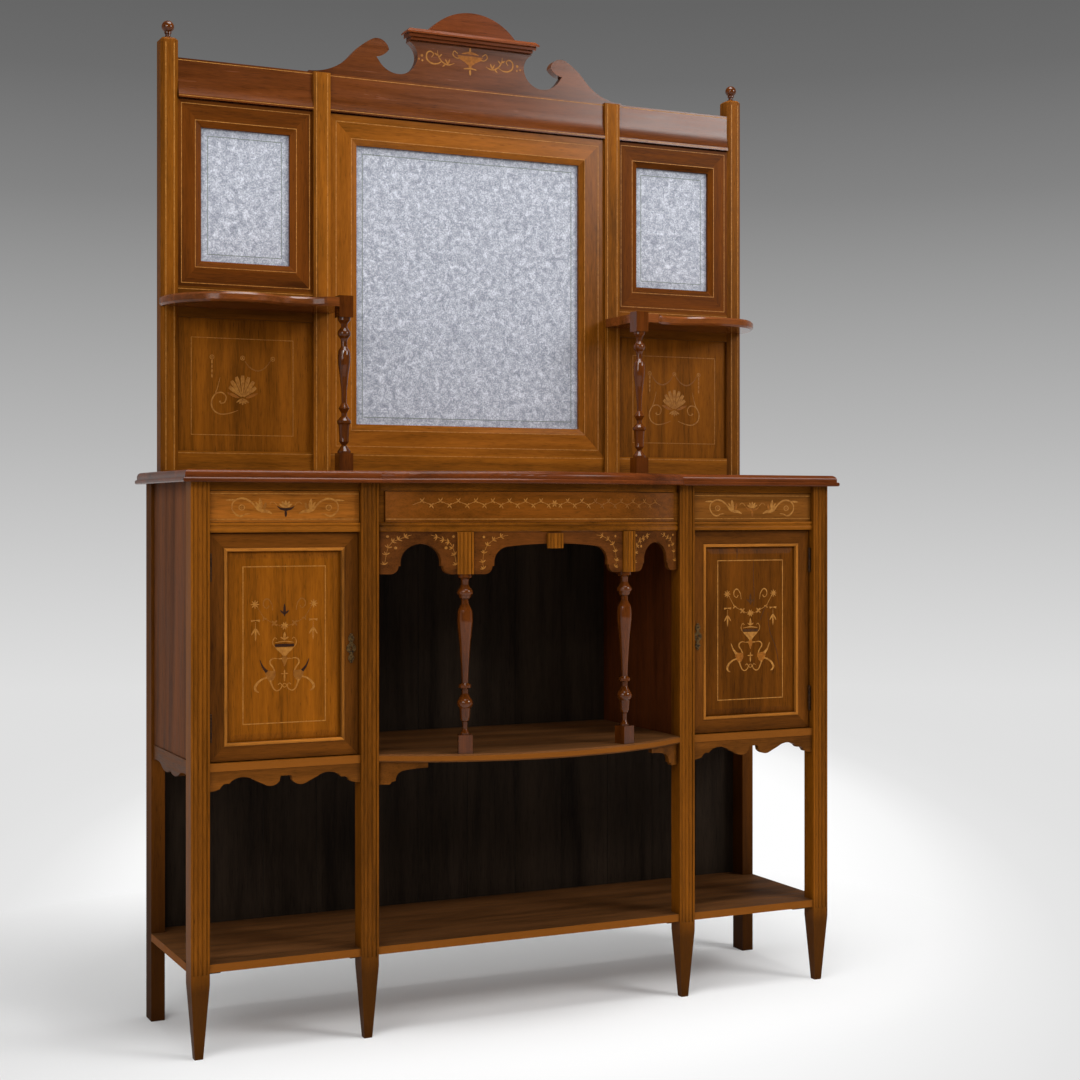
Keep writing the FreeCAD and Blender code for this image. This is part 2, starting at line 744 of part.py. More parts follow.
def centre_shelf():
    """The bow-fronted floor of the recess, notched behind the inner legs."""
    leg_back = FRONT + s.leg_side
    path = [(PARTITION_X, CARCASS_BACK), (-PARTITION_X, CARCASS_BACK), (-PARTITION_X, leg_back),
            (-RECESS_X, leg_back), (-RECESS_X, FRONT), (RECESS_X, FRONT, -s.bow_rise),
            (RECESS_X, leg_back), (PARTITION_X, leg_back)]
    body = padded("centre_shelf", "XY", FLOOR_UNDER, FLOOR_TOP, path)
    rounding = s.floor_thick * 0.2
    bevel_edges(body, rounding, rounding, front_arcs(0))
    return body


def back_boards():
    """Upright boards nailed to the back, from the low shelf to the top."""
    width = (s.base_width - s.back_leg_width) / s.back_board_count
    boards = []
    for index in range(int(float(s.back_board_count))):
        start = s.back_leg_width / 2 - OUTER_X + index * width
        boards.append(box(f"back_board_{index + 1}",
                          (start + s.back_board_gap / 2, start + width - s.back_board_gap / 2),
                          (CARCASS_BACK, CARCASS_BACK + s.back_board_thick),
                          (LOW_SHELF_UNDER, TOP_UNDER)))
    return group("back_boards", boards)


# ---- Aprons, fret, brackets and turnings ----


def front_apron():
    """The fret apron under a cupboard: a notch, two lobes and two humps."""
    middle = (BAY_INNER_X + BAY_OUTER_X) / 2
    half = (BAY_OUTER_X - BAY_INNER_X) / 2
    low = FLOOR_UNDER - s.apron_drop
    right = [
        (0.07, 0.60), (0.085, 0.34), (0.28, 0.20, -0.155), (0.42, 0.47), (0.71, 0.485, 0.18),
        (0.74, 0.36), (0.80, 0.36), (0.86, 0.115, 0.035), (1, 0, -0.022),
    ]
    edge = [(middle + x * half, low + z * s.apron_drop, *(b * s.apron_drop for b in bend))
            for x, z, *bend in mirrored_path(right) + right]
    path = [(middle - half, FLOOR_UNDER)] + edge + [(middle + half, FLOOR_UNDER)]
    front = FRONT + s.apron_setback
    return padded("front_apron", "XZ", front, front + s.apron_thick, path)


def basket_arch(half, rise, shoulder):
    """The joint of a three-centred arch's right half, and the bends of its two arcs.

    The small arc, with the radius shoulder, stands upright at the springing.
    """
    half, rise, shoulder = float(half), float(rise), float(shoulder)
    across = half - shoulder
    large = (across ** 2 + rise ** 2 - shoulder ** 2) / (2 * (rise - shoulder))
    turned = math.asin(across / (large - shoulder))
    x = large * math.sin(turned)
    z = rise - large * (1 - math.cos(turned))
    large_bend = large * (1 - math.cos(turned / 2))
    small_bend = shoulder * (1 - math.cos((math.pi / 2 - turned) / 2))
    return x, z, large_bend, small_bend


def arch_half_path(low):
    """The right half of the fret's lower edge, from the crown outwards."""
    spring = RAIL_UNDER - s.arch_spring
    crown = RAIL_UNDER - s.arch_crown
    step = s.arch_step
    lip = spring - 2 * step
    cove = 3.5 * step
    hollow = -1.1 * step
    near = s.narrow_arch_x - s.narrow_arch_half
    far = s.narrow_arch_x + s.narrow_arch_half
    rise = crown - spring
    x, z, large_bend, small_bend = basket_arch(s.wide_arch_half, rise, 0.85 * rise)
    wide = s.wide_arch_half
    return [
        (0, crown), (x, spring + z, large_bend), (wide, spring, small_bend), (wide, lip),
        (wide + step, lip), (wide + step + cove, low, hollow), (near - step - cove, low),
        (near - step, lip, hollow), (near, lip), (near, spring),
        (far, spring, s.narrow_arch_half), (far, lip), (far + step, lip),
        (far + step + cove, low, hollow), (RECESS_X, low),
    ]


def mirrored_path(right):
    """A path that is even about x = 0, from its right half, bends included."""
    left = [(-p[0], p[1]) for p in reversed(right)]
    bends = [p[2:] for p in right][::-1]
    path = [left[0]]
    path += [point + bend for point, bend in zip(left[1:], bends[:-1])]
    return path


def bow_slab(name, setback, depth, low, high):
    """A curved slab along the bow, to cut flat outlines from."""
    return padded(name, "XY", low, high, bow_ring(RECESS_X, setback, depth))


def spindle_angle():
    """How far a long spindle is turned to face square out of the bow, in radians."""
    return math.asin(float(s.spindle_x) / float(BOW_RADIUS - s.fret_setback))


def spindle_spot():
    """The axis of the right long spindle."""
    reach = float(BOW_RADIUS - s.fret_setback / 2 - s.block_side / 2)
    angle = spindle_angle()
    return reach * math.sin(angle), float(BOW_CENTRE_Y) - reach * math.cos(angle)


def reeded_block():
    """The reeded block over a long spindle, square to the bow."""
    body = padded("reeded_block", "XY", RAIL_UNDER - s.fret_drop, RAIL_UNDER,
                  reeded_square(s.block_side, s.block_reed_pitch))
    x, y = spindle_spot()
    return place(body, x, y, 0, math.degrees(spindle_angle()))


def arcade_fret(block):
    """Three arches sawn from a curved board, in three lengths between the blocks."""
    low = RAIL_UNDER - s.fret_drop
    right = arch_half_path(low)
    path = mirrored_path(right) + right[1:]
    path += [(RECESS_X, RAIL_UNDER), (-RECESS_X, RAIL_UNDER)]
    front = FRONT - s.bow_rise
    flat = padded("fret_outline", "XZ", front, FRONT + s.leg_side, path)
    slab = bow_slab("fret_slab", s.fret_setback, s.fret_thick, low, RAIL_UNDER)
    fret = boolean("Common", "fret_board", slab, flat)
    once = boolean("Cut", "fret_cut", fret, block)
    return boolean("Cut", "arcade_fret", once, mirrored("fret_block_twin", block))


def keystone():
    """The small reeded block on the crown of the wide arch."""
    width = s.keystone_width
    depth = s.keystone_proud
    pitch = width / 4
    high = RAIL_UNDER - s.keystone_drop
    path = [(-width / 2, depth), (-width / 2, 0), (-1.5 * pitch, 0), (-1.5 * pitch, s.reed_depth)]
    path += [(edge * pitch, s.reed_depth, -s.reed_depth) for edge in (-0.5, 0.5, 1.5)]
    path += [(1.5 * pitch, 0), (width / 2, 0), (width / 2, depth)]
    body = padded("keystone", "XY", high - s.keystone_height, high, path)
    return place(body, 0, FRONT - s.bow_rise + s.fret_setback - s.keystone_proud)


def turning(low, high, largest, stations):
    """A half profile up a turned length.

    Each station is (share of the largest radius, share of the length, bend of
    the stretch that ends there, as a share of the largest radius).
    """
    low, length, largest = float(low), float(high - low), float(largest)
    profile = [(0, low)]
    for radius, height, *bend in stations:
        profile.append((radius * largest, low + height * length, *(b * largest for b in bend)))
    return profile + [(0, low + length)]


def long_spindle():
    """A turned column on a square foot, between the middle shelf and a reeded block."""
    foot = FLOOR_TOP + s.spindle_foot_height
    body = new_body("long_spindle")
    pad(body, "XY", FLOOR_TOP, foot, square(s.spindle_foot))
    stations = [
        (0.58, 0), (0.58, 0.01), (0.32, 0.035), (0.34, 0.08), (0.5, 0.087), (0.62, 0.106),
        (0.71, 0.166), (0.82, 0.172), (0.8, 0.222, -0.2), (0.43, 0.257), (0.43, 0.284),
        (0.78, 0.293), (0.78, 0.309), (0.44, 0.322), (0.48, 0.4), (0.72, 0.57), (0.95, 0.67),
        (0.92, 0.775, -0.07), (0.5, 0.815), (0.46, 0.843), (0.68, 0.85), (0.84, 0.868),
        (0.8, 0.908, -0.2), (0.48, 0.935), (0.52, 0.968), (0.92, 0.98), (0.92, 1),
    ]
    turn(body, turning(foot, RAIL_UNDER - s.fret_drop, s.spindle_radius, stations))
    x, y = spindle_spot()
    return place(body, x, y, 0, math.degrees(spindle_angle()))


def shelf_bracket():
    """A shaped bracket under an end of the middle shelf, curved with the bow."""
    reach = s.bracket_reach
    drop = s.bracket_drop
    shape = [
        (1, 0), (1, 0.24), (0.506, 0.38, 0.024), (0.36, 0.83, 0.095), (0.277, 0.88),
        (0.205, 1, -0.036), (0, 1), (0, 0),
    ]
    path = [(RECESS_X - x * reach, FLOOR_UNDER - z * drop, *(b * drop for b in bend))
            for x, z, *bend in shape]
    low = FLOOR_UNDER - drop
    flat = padded("bracket_outline", "XZ", FRONT - s.bow_rise, FRONT + s.leg_side, path)
    slab = bow_slab("bracket_slab", s.fret_setback, s.apron_thick, low, FLOOR_UNDER)
    return boolean("Common", "shelf_bracket", slab, flat)


# ---- Doors: the right-hand one is drawn, the left-hand one is its twin ----

DOOR_X = (BAY_INNER_X + s.door_gap, BAY_OUTER_X - s.hinge_gap)
DOOR_Z = (FLOOR_TOP + s.door_gap, RAIL_UNDER - s.door_gap)
DOOR_FRONT = FRONT + s.door_setback
DOOR_BACK = DOOR_FRONT + s.door_thick
PIN_X = BAY_OUTER_X - s.knuckle_radius - s.knuckle_gap
PIN_Y = DOOR_FRONT - s.knuckle_radius - s.knuckle_gap


def mitred_frame(name, x, z, widths, layers):
    """Four mitred members round an opening.

    widths are those of the upright and of the level members; each of the
    layers is (front y, back y, step), the step being how much of the member's
    width the layer leaves free at the opening. A layer with two steps slopes
    from the one at its front to the one at its back.
    """
    outer = rectangle(x, z)
    side, level = widths
    inner = rectangle((x[0] + side, x[1] - side), (z[0] + level, z[1] - level))
    members = []
    for index in range(4):
        after = (index + 1) % 4
        width = level if index % 2 == 0 else side
        body = new_body(f"{name}_member_{index + 1}")
        for front, back, *steps in layers:
            paths = [[outer[index], outer[after],
                      *moved_out(inner, outer, (after, index), step / width)] for step in steps]
            thicken = pad if len(paths) == 1 else taper
            thicken(body, "XZ", front, back, *paths)
        members.append(body)
    return members


def moved_out(inner, outer, corners, share):
    """Inner corners of a frame, moved out along its mitres by a share."""
    return [tuple(near + (far - near) * share for near, far in zip(inner[corner], outer[corner]))
            for corner in corners]


def door_frame():
    """The mitred frame with a rebate behind, and the seat of the lock."""
    middle = DOOR_FRONT + s.door_face_layer
    layers = [(DOOR_FRONT, middle, dim(0)), (middle, DOOR_BACK, s.rebate_width)]
    members = mitred_frame("door", DOOR_X, DOOR_Z, (s.door_member, s.door_member), layers)
    lock_stile = members[3]
    half = s.lock_height / 2
    pocket(lock_stile, "XZ", DOOR_BACK - s.lock_depth, DOOR_BACK,
           rectangle((DOOR_X[0], DOOR_X[0] + s.lock_width), (LOCK_LEVEL - half, LOCK_LEVEL + half)))
    return group("door_frame", members)


def door_sight():
    """The limits of the opening inside the door frame."""
    x = (DOOR_X[0] + s.door_member, DOOR_X[1] - s.door_member)
    z = (DOOR_Z[0] + s.door_member, DOOR_Z[1] - s.door_member)
    return x, z


PANEL_BORDER_FRONT = DOOR_FRONT + s.door_face_layer - s.panel_border_thick


def grown(limits, amount):
    """Limits moved outwards by an amount."""
    return limits[0] - amount, limits[1] + amount


def door_bead():
    """The raised bead round the panel, mitred at its corners."""
    x, z = door_sight()
    layers = [(DOOR_FRONT - s.bead_proud, PANEL_BORDER_FRONT, dim(0))]
    members = mitred_frame("bead", x, z, (s.bead_width, s.bead_width), layers)
    for member in members:
        rounding = s.bead_width * 0.3
        round_edges(member, rounding, long_front_edge(DOOR_FRONT - s.bead_proud))
    return group("door_bead", members)


def long_front_edge(level):
    """A test for the long edges of a member in its front plane."""

    def wanted(edge):
        return flat_at("Y", level)(edge) and edge.Length > 50

    return wanted


def door_panel():
    """The fielded panel: its edge in the rebate, its field bevelled and raised."""
    x, z = door_sight()
    layer_back = DOOR_FRONT + s.door_face_layer
    body = padded("door_panel", "XZ", layer_back, layer_back + s.panel_edge_thick,
                  rectangle(grown(x, s.rebate_width), grown(z, s.rebate_width)))
    pad(body, "XZ", PANEL_BORDER_FRONT, layer_back, rectangle(x, z))
    field_front = PANEL_BORDER_FRONT - s.panel_raise
    insets = (s.bead_width + s.panel_bevel, s.bead_width)
    paths = [rectangle(grown(x, -inset), grown(z, -inset)) for inset in insets]
    taper(body, "XZ", field_front, PANEL_BORDER_FRONT, *paths)
    return body


def escutcheon():
    """A brass keyhole plate: a disc between two lobed ends."""
    side = s.escutcheon_width / 2
    half = s.escutcheon_height / 2
    right = [
        (0, -1, -0.145), (0.31, -0.86, -0.145), (0.31, -0.47, -0.356), (0.378, -0.309),
        (0.378, 0.309, -0.62), (0.31, 0.47), (0.31, 0.86, -0.356),
    ]
    turned = [(-x, -z, *bend) for x, z, *bend in right]
    path = [(x * side, z * half, *(b * side for b in bend)) for x, z, *bend in right + turned]
    limits = (DOOR_FRONT - s.escutcheon_thick, DOOR_FRONT)
    body = padded("escutcheon", "XZ", *limits, path)
    round_end = s.keyhole_radius
    slot = round_end / 2
    pocket(body, "XZ", *limits, [(-slot, -3 * round_end), (slot, -3 * round_end), (slot, 0),
                                 (round_end, round_end, -slot / 2),
                                 (-round_end, round_end, -round_end), (-slot, 0, -slot / 2)])
    return place(body, DOOR_X[0] + s.door_member / 2, 0, LOCK_LEVEL)


def bolt_space(start, play):
    """Limits of the bolt, or with some play of its slot, from a place near the door's edge."""
    middle = DOOR_FRONT + s.bolt_setback
    y_half = s.bolt_thick / 2 + play
    z_half = s.bolt_height / 2 + play
    return ((start, DOOR_X[0] + s.bolt_rest + s.bolt_length + play),
            (middle - y_half, middle + y_half), (LOCK_LEVEL - z_half, LOCK_LEVEL + z_half))


def lock_case():
    """The lock, let into the back of the stile, with the slot of its bolt."""
    half = s.lock_height / 2
    case = box("lock_block", (DOOR_X[0], DOOR_X[0] + s.lock_width),
               (DOOR_BACK - s.lock_depth, DOOR_BACK), (LOCK_LEVEL - half, LOCK_LEVEL + half))
    slot = box("lock_slot", *bolt_space(DOOR_X[0], s.bolt_play))
    return boolean("Cut", "lock_case", case, slot)


def lock_bolt():
    return box("lock_bolt", *bolt_space(DOOR_X[0] + s.bolt_rest, 0))


def hinge_levels():
    """The lower ends of the two hinges of a door."""
    half = s.hinge_height / 2
    return (DOOR_Z[0] + s.hinge_inset - half, DOOR_Z[1] - s.hinge_inset - half)


def knuckle_limits(level):
    """The three knuckles of a hinge from the bottom up, with play between them."""
    third = s.hinge_height / 3
    play = s.knuckle_play / 2
    return [(level, level + third - play), (level + third + play, level + 2 * third - play),
            (level + 2 * third + play, level + s.hinge_height)]


def door_hinge(index, level):
    """The leaf on the door with its two knuckles and the pin through all three."""
    name = f"door_hinge_{index}"
    leaf_x = (DOOR_X[1], DOOR_X[1] + s.leaf_thick)
    back = DOOR_BACK - s.leaf_margin
    knuckles = knuckle_limits(level)
    pieces = [box(name + "_leaf", leaf_x, (DOOR_FRONT + s.leaf_setback, back),
                  (level, level + s.hinge_height)),
              cylinder(name + "_pin", s.hinge_pin_radius, PIN_X, PIN_Y,
                       (level, level + s.hinge_height))]
    for end, limits in (("low", knuckles[0]), ("high", knuckles[2])):
        pieces.append(box(f"{name}_tongue_{end}", leaf_x, (PIN_Y, DOOR_FRONT + s.leaf_setback), limits))
        pieces.append(cylinder(f"{name}_knuckle_{end}", s.knuckle_radius, PIN_X, PIN_Y, limits))
    return fuse(name, pieces)


def fixed_hinge(index, level):
    """The leaf on the leg with the middle knuckle, bored for the pin."""
    name = f"fixed_hinge_{index}"
    leaf_x = (BAY_OUTER_X - s.leaf_thick, BAY_OUTER_X)
    middle = knuckle_limits(level)[1]
    pieces = [box(name + "_leaf", leaf_x, (DOOR_FRONT + s.leaf_setback, FRONT + s.leg_side),
                  (level, level + s.hinge_height)),
              box(name + "_tongue", leaf_x, (PIN_Y, DOOR_FRONT + s.leaf_setback), middle),
              cylinder(name + "_knuckle", s.knuckle_radius, PIN_X, PIN_Y, middle)]
    bore = cylinder(name + "_bore", s.hinge_pin_radius + s.pin_play, PIN_X, PIN_Y, middle)
    return boolean("Cut", name, fuse(name + "_solid", pieces), bore)


# ---- Drawers ----

DRAWER_Z = (RAIL_TOP + s.drawer_lift, FRIEZE_TOP - s.drawer_gap)
DRAWER_BACK = CARCASS_BACK - s.drawer_back_gap
DRAWER_SIDE_TOP = DRAWER_Z[1] - s.drawer_side_drop
DRAWER_BOTTOM_Z = (DRAWER_Z[0] + s.drawer_bottom_lift,
                   DRAWER_Z[0] + s.drawer_bottom_lift + s.drawer_bottom_thick)


def side_drawer():
    """A straight drawer: its front, and the sides, back and bottom of its box."""
    x = (BAY_INNER_X + s.drawer_gap, BAY_OUTER_X - s.drawer_gap)
    front = FRONT + s.drawer_setback
    front_back = front + s.drawer_front_thick
    board = s.drawer_side_thick
    face = box("side_drawer_front", x, (front, front_back), DRAWER_Z)
    wall_z = (DRAWER_Z[0], DRAWER_SIDE_TOP)
    inside = (x[0] + board, x[1] - board)
    walls = [
        box("side_drawer_near", (x[0], x[0] + board), (front_back, DRAWER_BACK), wall_z),
        box("side_drawer_far", (x[1] - board, x[1]), (front_back, DRAWER_BACK), wall_z),
        box("side_drawer_back", inside, (DRAWER_BACK - board, DRAWER_BACK), wall_z),
        box("side_drawer_bottom", inside, (front_back, DRAWER_BACK - board), DRAWER_BOTTOM_Z),
    ]
    return face, group("side_drawer_box", walls)


def centre_drawer():
    """The bow-fronted drawer, its walls and bottom shaped to the curved front."""
    half = RECESS_X - s.strip_width - s.drawer_gap
    board = s.drawer_side_thick
    inner_setback = s.fret_setback + s.drawer_front_thick
    face = padded("centre_drawer_face", "XY", *DRAWER_Z,
                  bow_ring(half, s.fret_setback, s.drawer_front_thick))
    wall_z = (DRAWER_Z[0], DRAWER_SIDE_TOP)
    near_y = bow_y(half, inner_setback)
    far_y = bow_y(half - board, inner_setback)
    wall = padded("centre_drawer_wall", "XY", *wall_z,
                  [(half, DRAWER_BACK), (half - board, DRAWER_BACK), (half - board, far_y),
                   (half, near_y)])
    back = box("centre_drawer_back", (board - half, half - board),
               (DRAWER_BACK - board, DRAWER_BACK), wall_z)
    bottom = padded("centre_drawer_bottom", "XY", *DRAWER_BOTTOM_Z,
                    bow_path(half - board, inner_setback, DRAWER_BACK - board))
    walls = [wall, mirrored("centre_drawer_wall_twin", wall), back, bottom]
    return face, group("centre_drawer_walls", walls)


# ---- Mirror back ----


def post():
    """A square post with its two front corners canted."""
    near = POST_INNER_X
    far = POST_X + s.post_side / 2
    cant = s.post_cant
    path = [(near, BACK_FRONT + cant), (near + cant, BACK_FRONT), (far - cant, BACK_FRONT),
            (far, BACK_FRONT + cant), (far, BACK_FRONT + s.post_side),
            (near, BACK_FRONT + s.post_side)]
    body = padded("post", "XY", s.base_height, POST_TOP, path)
    bevel_edges(body, s.post_chamfer, s.post_chamfer, flat_at("Z", POST_TOP))
    return body


def finial():
    """A ball on a turned neck, on top of a post."""
    neck = s.finial_neck
    waist = s.finial_ball * 0.42
    base = s.finial_ball * 0.75
    stem = new_body("finial_stem")
    turn(stem, [(0, 0), (base, 0), (base, neck * 0.15), (waist, neck * 0.35),
                (waist, neck * 0.6), (waist * 1.35, neck * 0.7), (waist * 1.35, neck), (0, neck)])
    y = BACK_FRONT + s.post_side / 2
    place(stem, POST_X, y, POST_TOP)
    ball = doc.addObject("Part::Sphere", "finial_ball")
    ball.setExpression("Radius", s.finial_ball.text)
    centre = POST_TOP + neck + s.finial_ball * 0.8
    for axis, spot in zip("xyz", (POST_X, y, centre)):
        ball.setExpression(f"Placement.Base.{axis}", spot.text)
    return fuse("finial", [stem, ball])


def stile():
    return box("stile", (STILE_INNER_X, STILE_OUTER_X), (BACK_FRONT, BACK_FRONT + s.stile_depth),
               (s.base_height, HEAD_TOP))


def head_rail(name, low_x, high_x):
    """A head rail whose hollowed face sweeps forward to a lip at its lower edge.

    Behind the shadow line its tongue comes down to the frames.
    """
    front = PANEL_FRONT
    back = PANEL_FRONT + s.back_rail_thick
    hollow = HEAD_UNDER + s.head_rail_width * 0.6
    lip = front - s.head_lip
    tongue = front + s.frame_gap_depth
    path = [(back, FRAME_TOP), (back, HEAD_TOP), (front, HEAD_TOP), (front, hollow),
            (lip, HEAD_UNDER + s.head_lip, s.head_lip / 3), (lip, HEAD_UNDER),
            (tongue, HEAD_UNDER), (tongue, FRAME_TOP)]
    return padded(name, "YZ", low_x, high_x, path)


def head_rails():
    side = head_rail("head_rail_side", STILE_OUTER_X, POST_INNER_X)
    middle = head_rail("head_rail_middle", -STILE_INNER_X, STILE_INNER_X)
    return group("head_rails", [side, mirrored("head_rail_twin", side), middle])


def back_rail(name, x, z):
    return box(name, x, (PANEL_FRONT, PANEL_FRONT + s.back_rail_thick), z)


def base_rails():
    z = (s.base_height, BASE_RAIL_TOP)
    side = back_rail("base_rail_side", (STILE_OUTER_X, POST_INNER_X), z)
    middle = back_rail("base_rail_middle", (-STILE_INNER_X, STILE_INNER_X), z)
    return group("base_rails", [side, mirrored("base_rail_twin", side), middle])


def cross_rail():
    return back_rail("cross_rail", (STILE_OUTER_X, POST_INNER_X),
                     (CROSS_RAIL_UNDER, CROSS_RAIL_TOP))


def niche_panel():
    front = BACK_FRONT + s.niche_panel_setback
    return box("niche_panel", (STILE_OUTER_X, POST_INNER_X), (front, front + s.niche_panel_thick),
               (BASE_RAIL_TOP, CROSS_RAIL_UNDER))


FRAME_FACE = s.frame_thick - s.glass_thick - s.backboard_thick


def mirror_set(name, x, z, widths):
    """A mitred frame, its bevelled glass and the board behind the glass."""
    glass_front = PANEL_FRONT + FRAME_FACE
    board_front = glass_front + s.glass_thick
    side, level = widths
    sloped = PANEL_FRONT + s.frame_slope
    layers = [(PANEL_FRONT, sloped, s.frame_slope_width, dim(0)),
              (sloped, glass_front, dim(0)),
              (glass_front, PANEL_FRONT + s.frame_thick, s.rebate_width)]
    frame = mitred_frame(name, x, z, widths, layers)
    seat_x = (x[0] + side - s.rebate_width, x[1] - side + s.rebate_width)
    seat_z = (z[0] + level - s.rebate_width, z[1] - level + s.rebate_width)
    inset = -s.glass_bevel - s.rebate_width
    seat = rectangle(seat_x, seat_z)
    glass = padded(name + "_glass", "XZ", glass_front + s.glass_bevel_drop, board_front, seat)
    taper(glass, "XZ", glass_front, glass_front + s.glass_bevel_drop,
          rectangle(grown(seat_x, inset), grown(seat_z, inset)), seat)
    board = box(name + "_board", seat_x, (board_front, board_front + s.backboard_thick), seat_z)
    return frame, glass, board


def niche_shelf():
    """A serpentine bracket shelf, notched round the block of its spindle."""
    reach = s.niche_shelf_reach
    front = BACK_FRONT - reach
    block_x = niche_spindle_x()
    half = s.niche_block / 2
    start = block_x + half + s.niche_shelf_square
    length = s.niche_shelf_end - start
    wave = [(0.015, 0.036), (0.31, 0.117, 0.1), (0.775, 0.1, -0.14), (1, 1, -0.125)]
    path = [
        (block_x - half, front + s.niche_block), (block_x + half, front + s.niche_block),
        (block_x + half, front), (start, front),
        *((start + x * length, front + y * reach, *(b * reach for b in bend))
          for x, y, *bend in wave),
        (POST_INNER_X, BACK_FRONT), (POST_INNER_X, PANEL_FRONT), (STILE_OUTER_X, PANEL_FRONT),
        (STILE_OUTER_X, BACK_FRONT), (block_x - half, BACK_FRONT),
    ]
    body = padded("niche_shelf", "XY", NICHE_SHELF_UNDER, NICHE_SHELF_UNDER + s.niche_shelf_thick,
                  path)

    def serpentine(edge):
        return hasattr(edge.Curve, "Radius")

    rounding = s.niche_shelf_thick * 0.22
    bevel_edges(body, rounding, rounding, serpentine)
    return body


def niche_spindle_x():
    return s.stile_spread / 2 - s.niche_block_inset


def niche_spindle():
    """A short turned column between two square blocks, all in one length."""
    shelf_top = NICHE_SHELF_UNDER + s.niche_shelf_thick
    block_low = NICHE_SHELF_UNDER - s.niche_block_below
    body = new_body("niche_spindle")
    pad(body, "XY", s.base_height, s.base_height + s.niche_foot_height, square(s.niche_block))
    pad(body, "XY", block_low, shelf_top + s.niche_block_above, square(s.niche_block))
    stations = [
        (0.88, 0), (0.88, 0.015), (0.31, 0.06), (0.66, 0.085), (0.64, 0.11), (0.76, 0.21),
        (0.92, 0.222), (0.92, 0.24), (0.36, 0.275), (0.36, 0.295), (0.73, 0.33), (0.34, 0.37),
        (0.38, 0.46), (0.57, 0.565), (0.78, 0.65), (0.76, 0.755, -0.06), (0.42, 0.785),
        (0.42, 0.825), (0.52, 0.845), (0.68, 0.855), (0.66, 0.91, -0.2), (0.42, 0.93),
        (0.46, 0.955), (0.84, 0.98), (0.84, 1),
    ]
    foot = s.base_height + s.niche_foot_height
    turn(body, turning(foot, block_low, s.spindle_radius, stations))
    y = BACK_FRONT - s.niche_shelf_reach + s.niche_block / 2
    return place(body, niche_spindle_x(), y)


def pediment():
    """The swan-neck board: two scrolls, two hollows and the tablet between them."""
    half = s.pediment_half
    rise = s.pediment_height
    shape = [
        (1, 0), (1, 0.034), (0.749, 0.494, 0.124), (0.617, 0.933, -0.034), (0.517, 0.719, -0.11),
        (0.594, 0.522, -0.04), (0.58, 0.444), (0.449, 0.169, 0.084), (0.34, 0.584, 0.103),
        (0.391, 0.966, 0.067), (0.391, 1),
    ]
    right = [(x * half, HEAD_TOP + z * rise, *(b * rise for b in bend)) for x, z, *bend in shape]
    return padded("pediment", "XZ", PANEL_FRONT, PANEL_FRONT + s.pediment_thick,
                  right + mirrored_path(right))


def pediment_cap():
    """A cap moulding in three steps with a segmental arch standing on it."""
    low = HEAD_TOP + s.pediment_height
    high = low + s.cap_thick
    back = PANEL_FRONT + s.pediment_thick
    body = new_body("pediment_cap")
    levels = [low, low + s.cap_thick * 0.25, low + s.cap_thick * 0.55, high]
    for step, (start, end) in enumerate(zip(levels, levels[1:])):
        inset = s.cap_step * (2 - step)
        half = s.cap_half - inset
        pad(body, "XY", start, end, rectangle((-half, half), (back - s.cap_depth + inset, back)))

    def upper_rim(edge):
        return flat_at("Z", high)(edge) and not flat_at("Y", back)(edge)

    bevel_edges(body, s.cap_thick * 0.3, s.cap_thick * 0.3, upper_rim)
    pad(body, "XZ", back - s.arch_depth, back,
        [(-s.arch_half, high, -s.arch_rise), (s.arch_half, high)])
    return body


# ---- The sub-parts, by the names of their files ----

parts = {}


def keep(name, item):
    """Enter an object as a sub-part under its own label."""
    item.Label = name
    parts[name] = item
    return item


keep("leg_outer_left", front_leg("leg_a", -OUTER_LEG_X, 0))
keep("leg_inner_left", front_leg("leg_b", -INNER_LEG_X, -1))
keep("leg_inner_right", front_leg("leg_c", INNER_LEG_X, 1))
keep("leg_outer_right", front_leg("leg_d", OUTER_LEG_X, 0))
keep("back_legs", pair("back_leg_pair", back_leg()))
keep("side_panels", pair("side_panel_pair", side_panel()))
keep("side_aprons", pair("side_apron_pair", side_apron()))
keep("partitions", pair("partition_pair", partition()))
keep("cupboard_floors", pair("floor_pair", cupboard_floor()))
keep("centre_shelf", centre_shelf())
keep("bottom_shelf", bottom_shelf())
keep("corner_blocks", corner_blocks())
keep("top_board", top_board())
keep("frieze_rails", frieze_rails())
keep("moulded_rails", pair("moulded_rail_pair", moulded_rail()))
keep("bow_rail", bow_rail())
side_dust = side_dust_board()
keep("dust_boards", group("dust_board_set", [side_dust, mirrored("side_dust_twin", side_dust),
                                             centre_dust_board()] + drawer_guides()))
keep("back_boards", back_boards())
keep("front_aprons", pair("front_apron_pair", front_apron()))
top_block = reeded_block()
keep("arcade_fret", arcade_fret(top_block))
keep("arcade_blocks", group("arcade_block_set", [top_block, mirrored("top_block_twin", top_block),
                                                 keystone()]))
keep("long_spindles", pair("long_spindle_pair", long_spindle()))
keep("shelf_brackets", pair("shelf_bracket_pair", shelf_bracket()))

fixed_leaves = [fixed_hinge(number, level) for number, level in enumerate(hinge_levels(), 1)]
keep("hinge_leaves_fixed", pair("fixed_leaf_pairs", group("fixed_leaves", fixed_leaves)))
door_leaves = [door_hinge(number, level) for number, level in enumerate(hinge_levels(), 1)]
door_pieces = {
    "frame": door_frame(),
    "bead": door_bead(),
    "panel": door_panel(),
    "hinges": group("door_leaves", door_leaves),
    "escutcheon": escutcheon(),
    "lock": lock_case(),
    "bolt": lock_bolt(),
}
for what, right_piece in door_pieces.items():
    keep(f"door_{what}_right", right_piece)
    keep(f"door_{what}_left", mirrored(f"door_{what}_twin", right_piece))

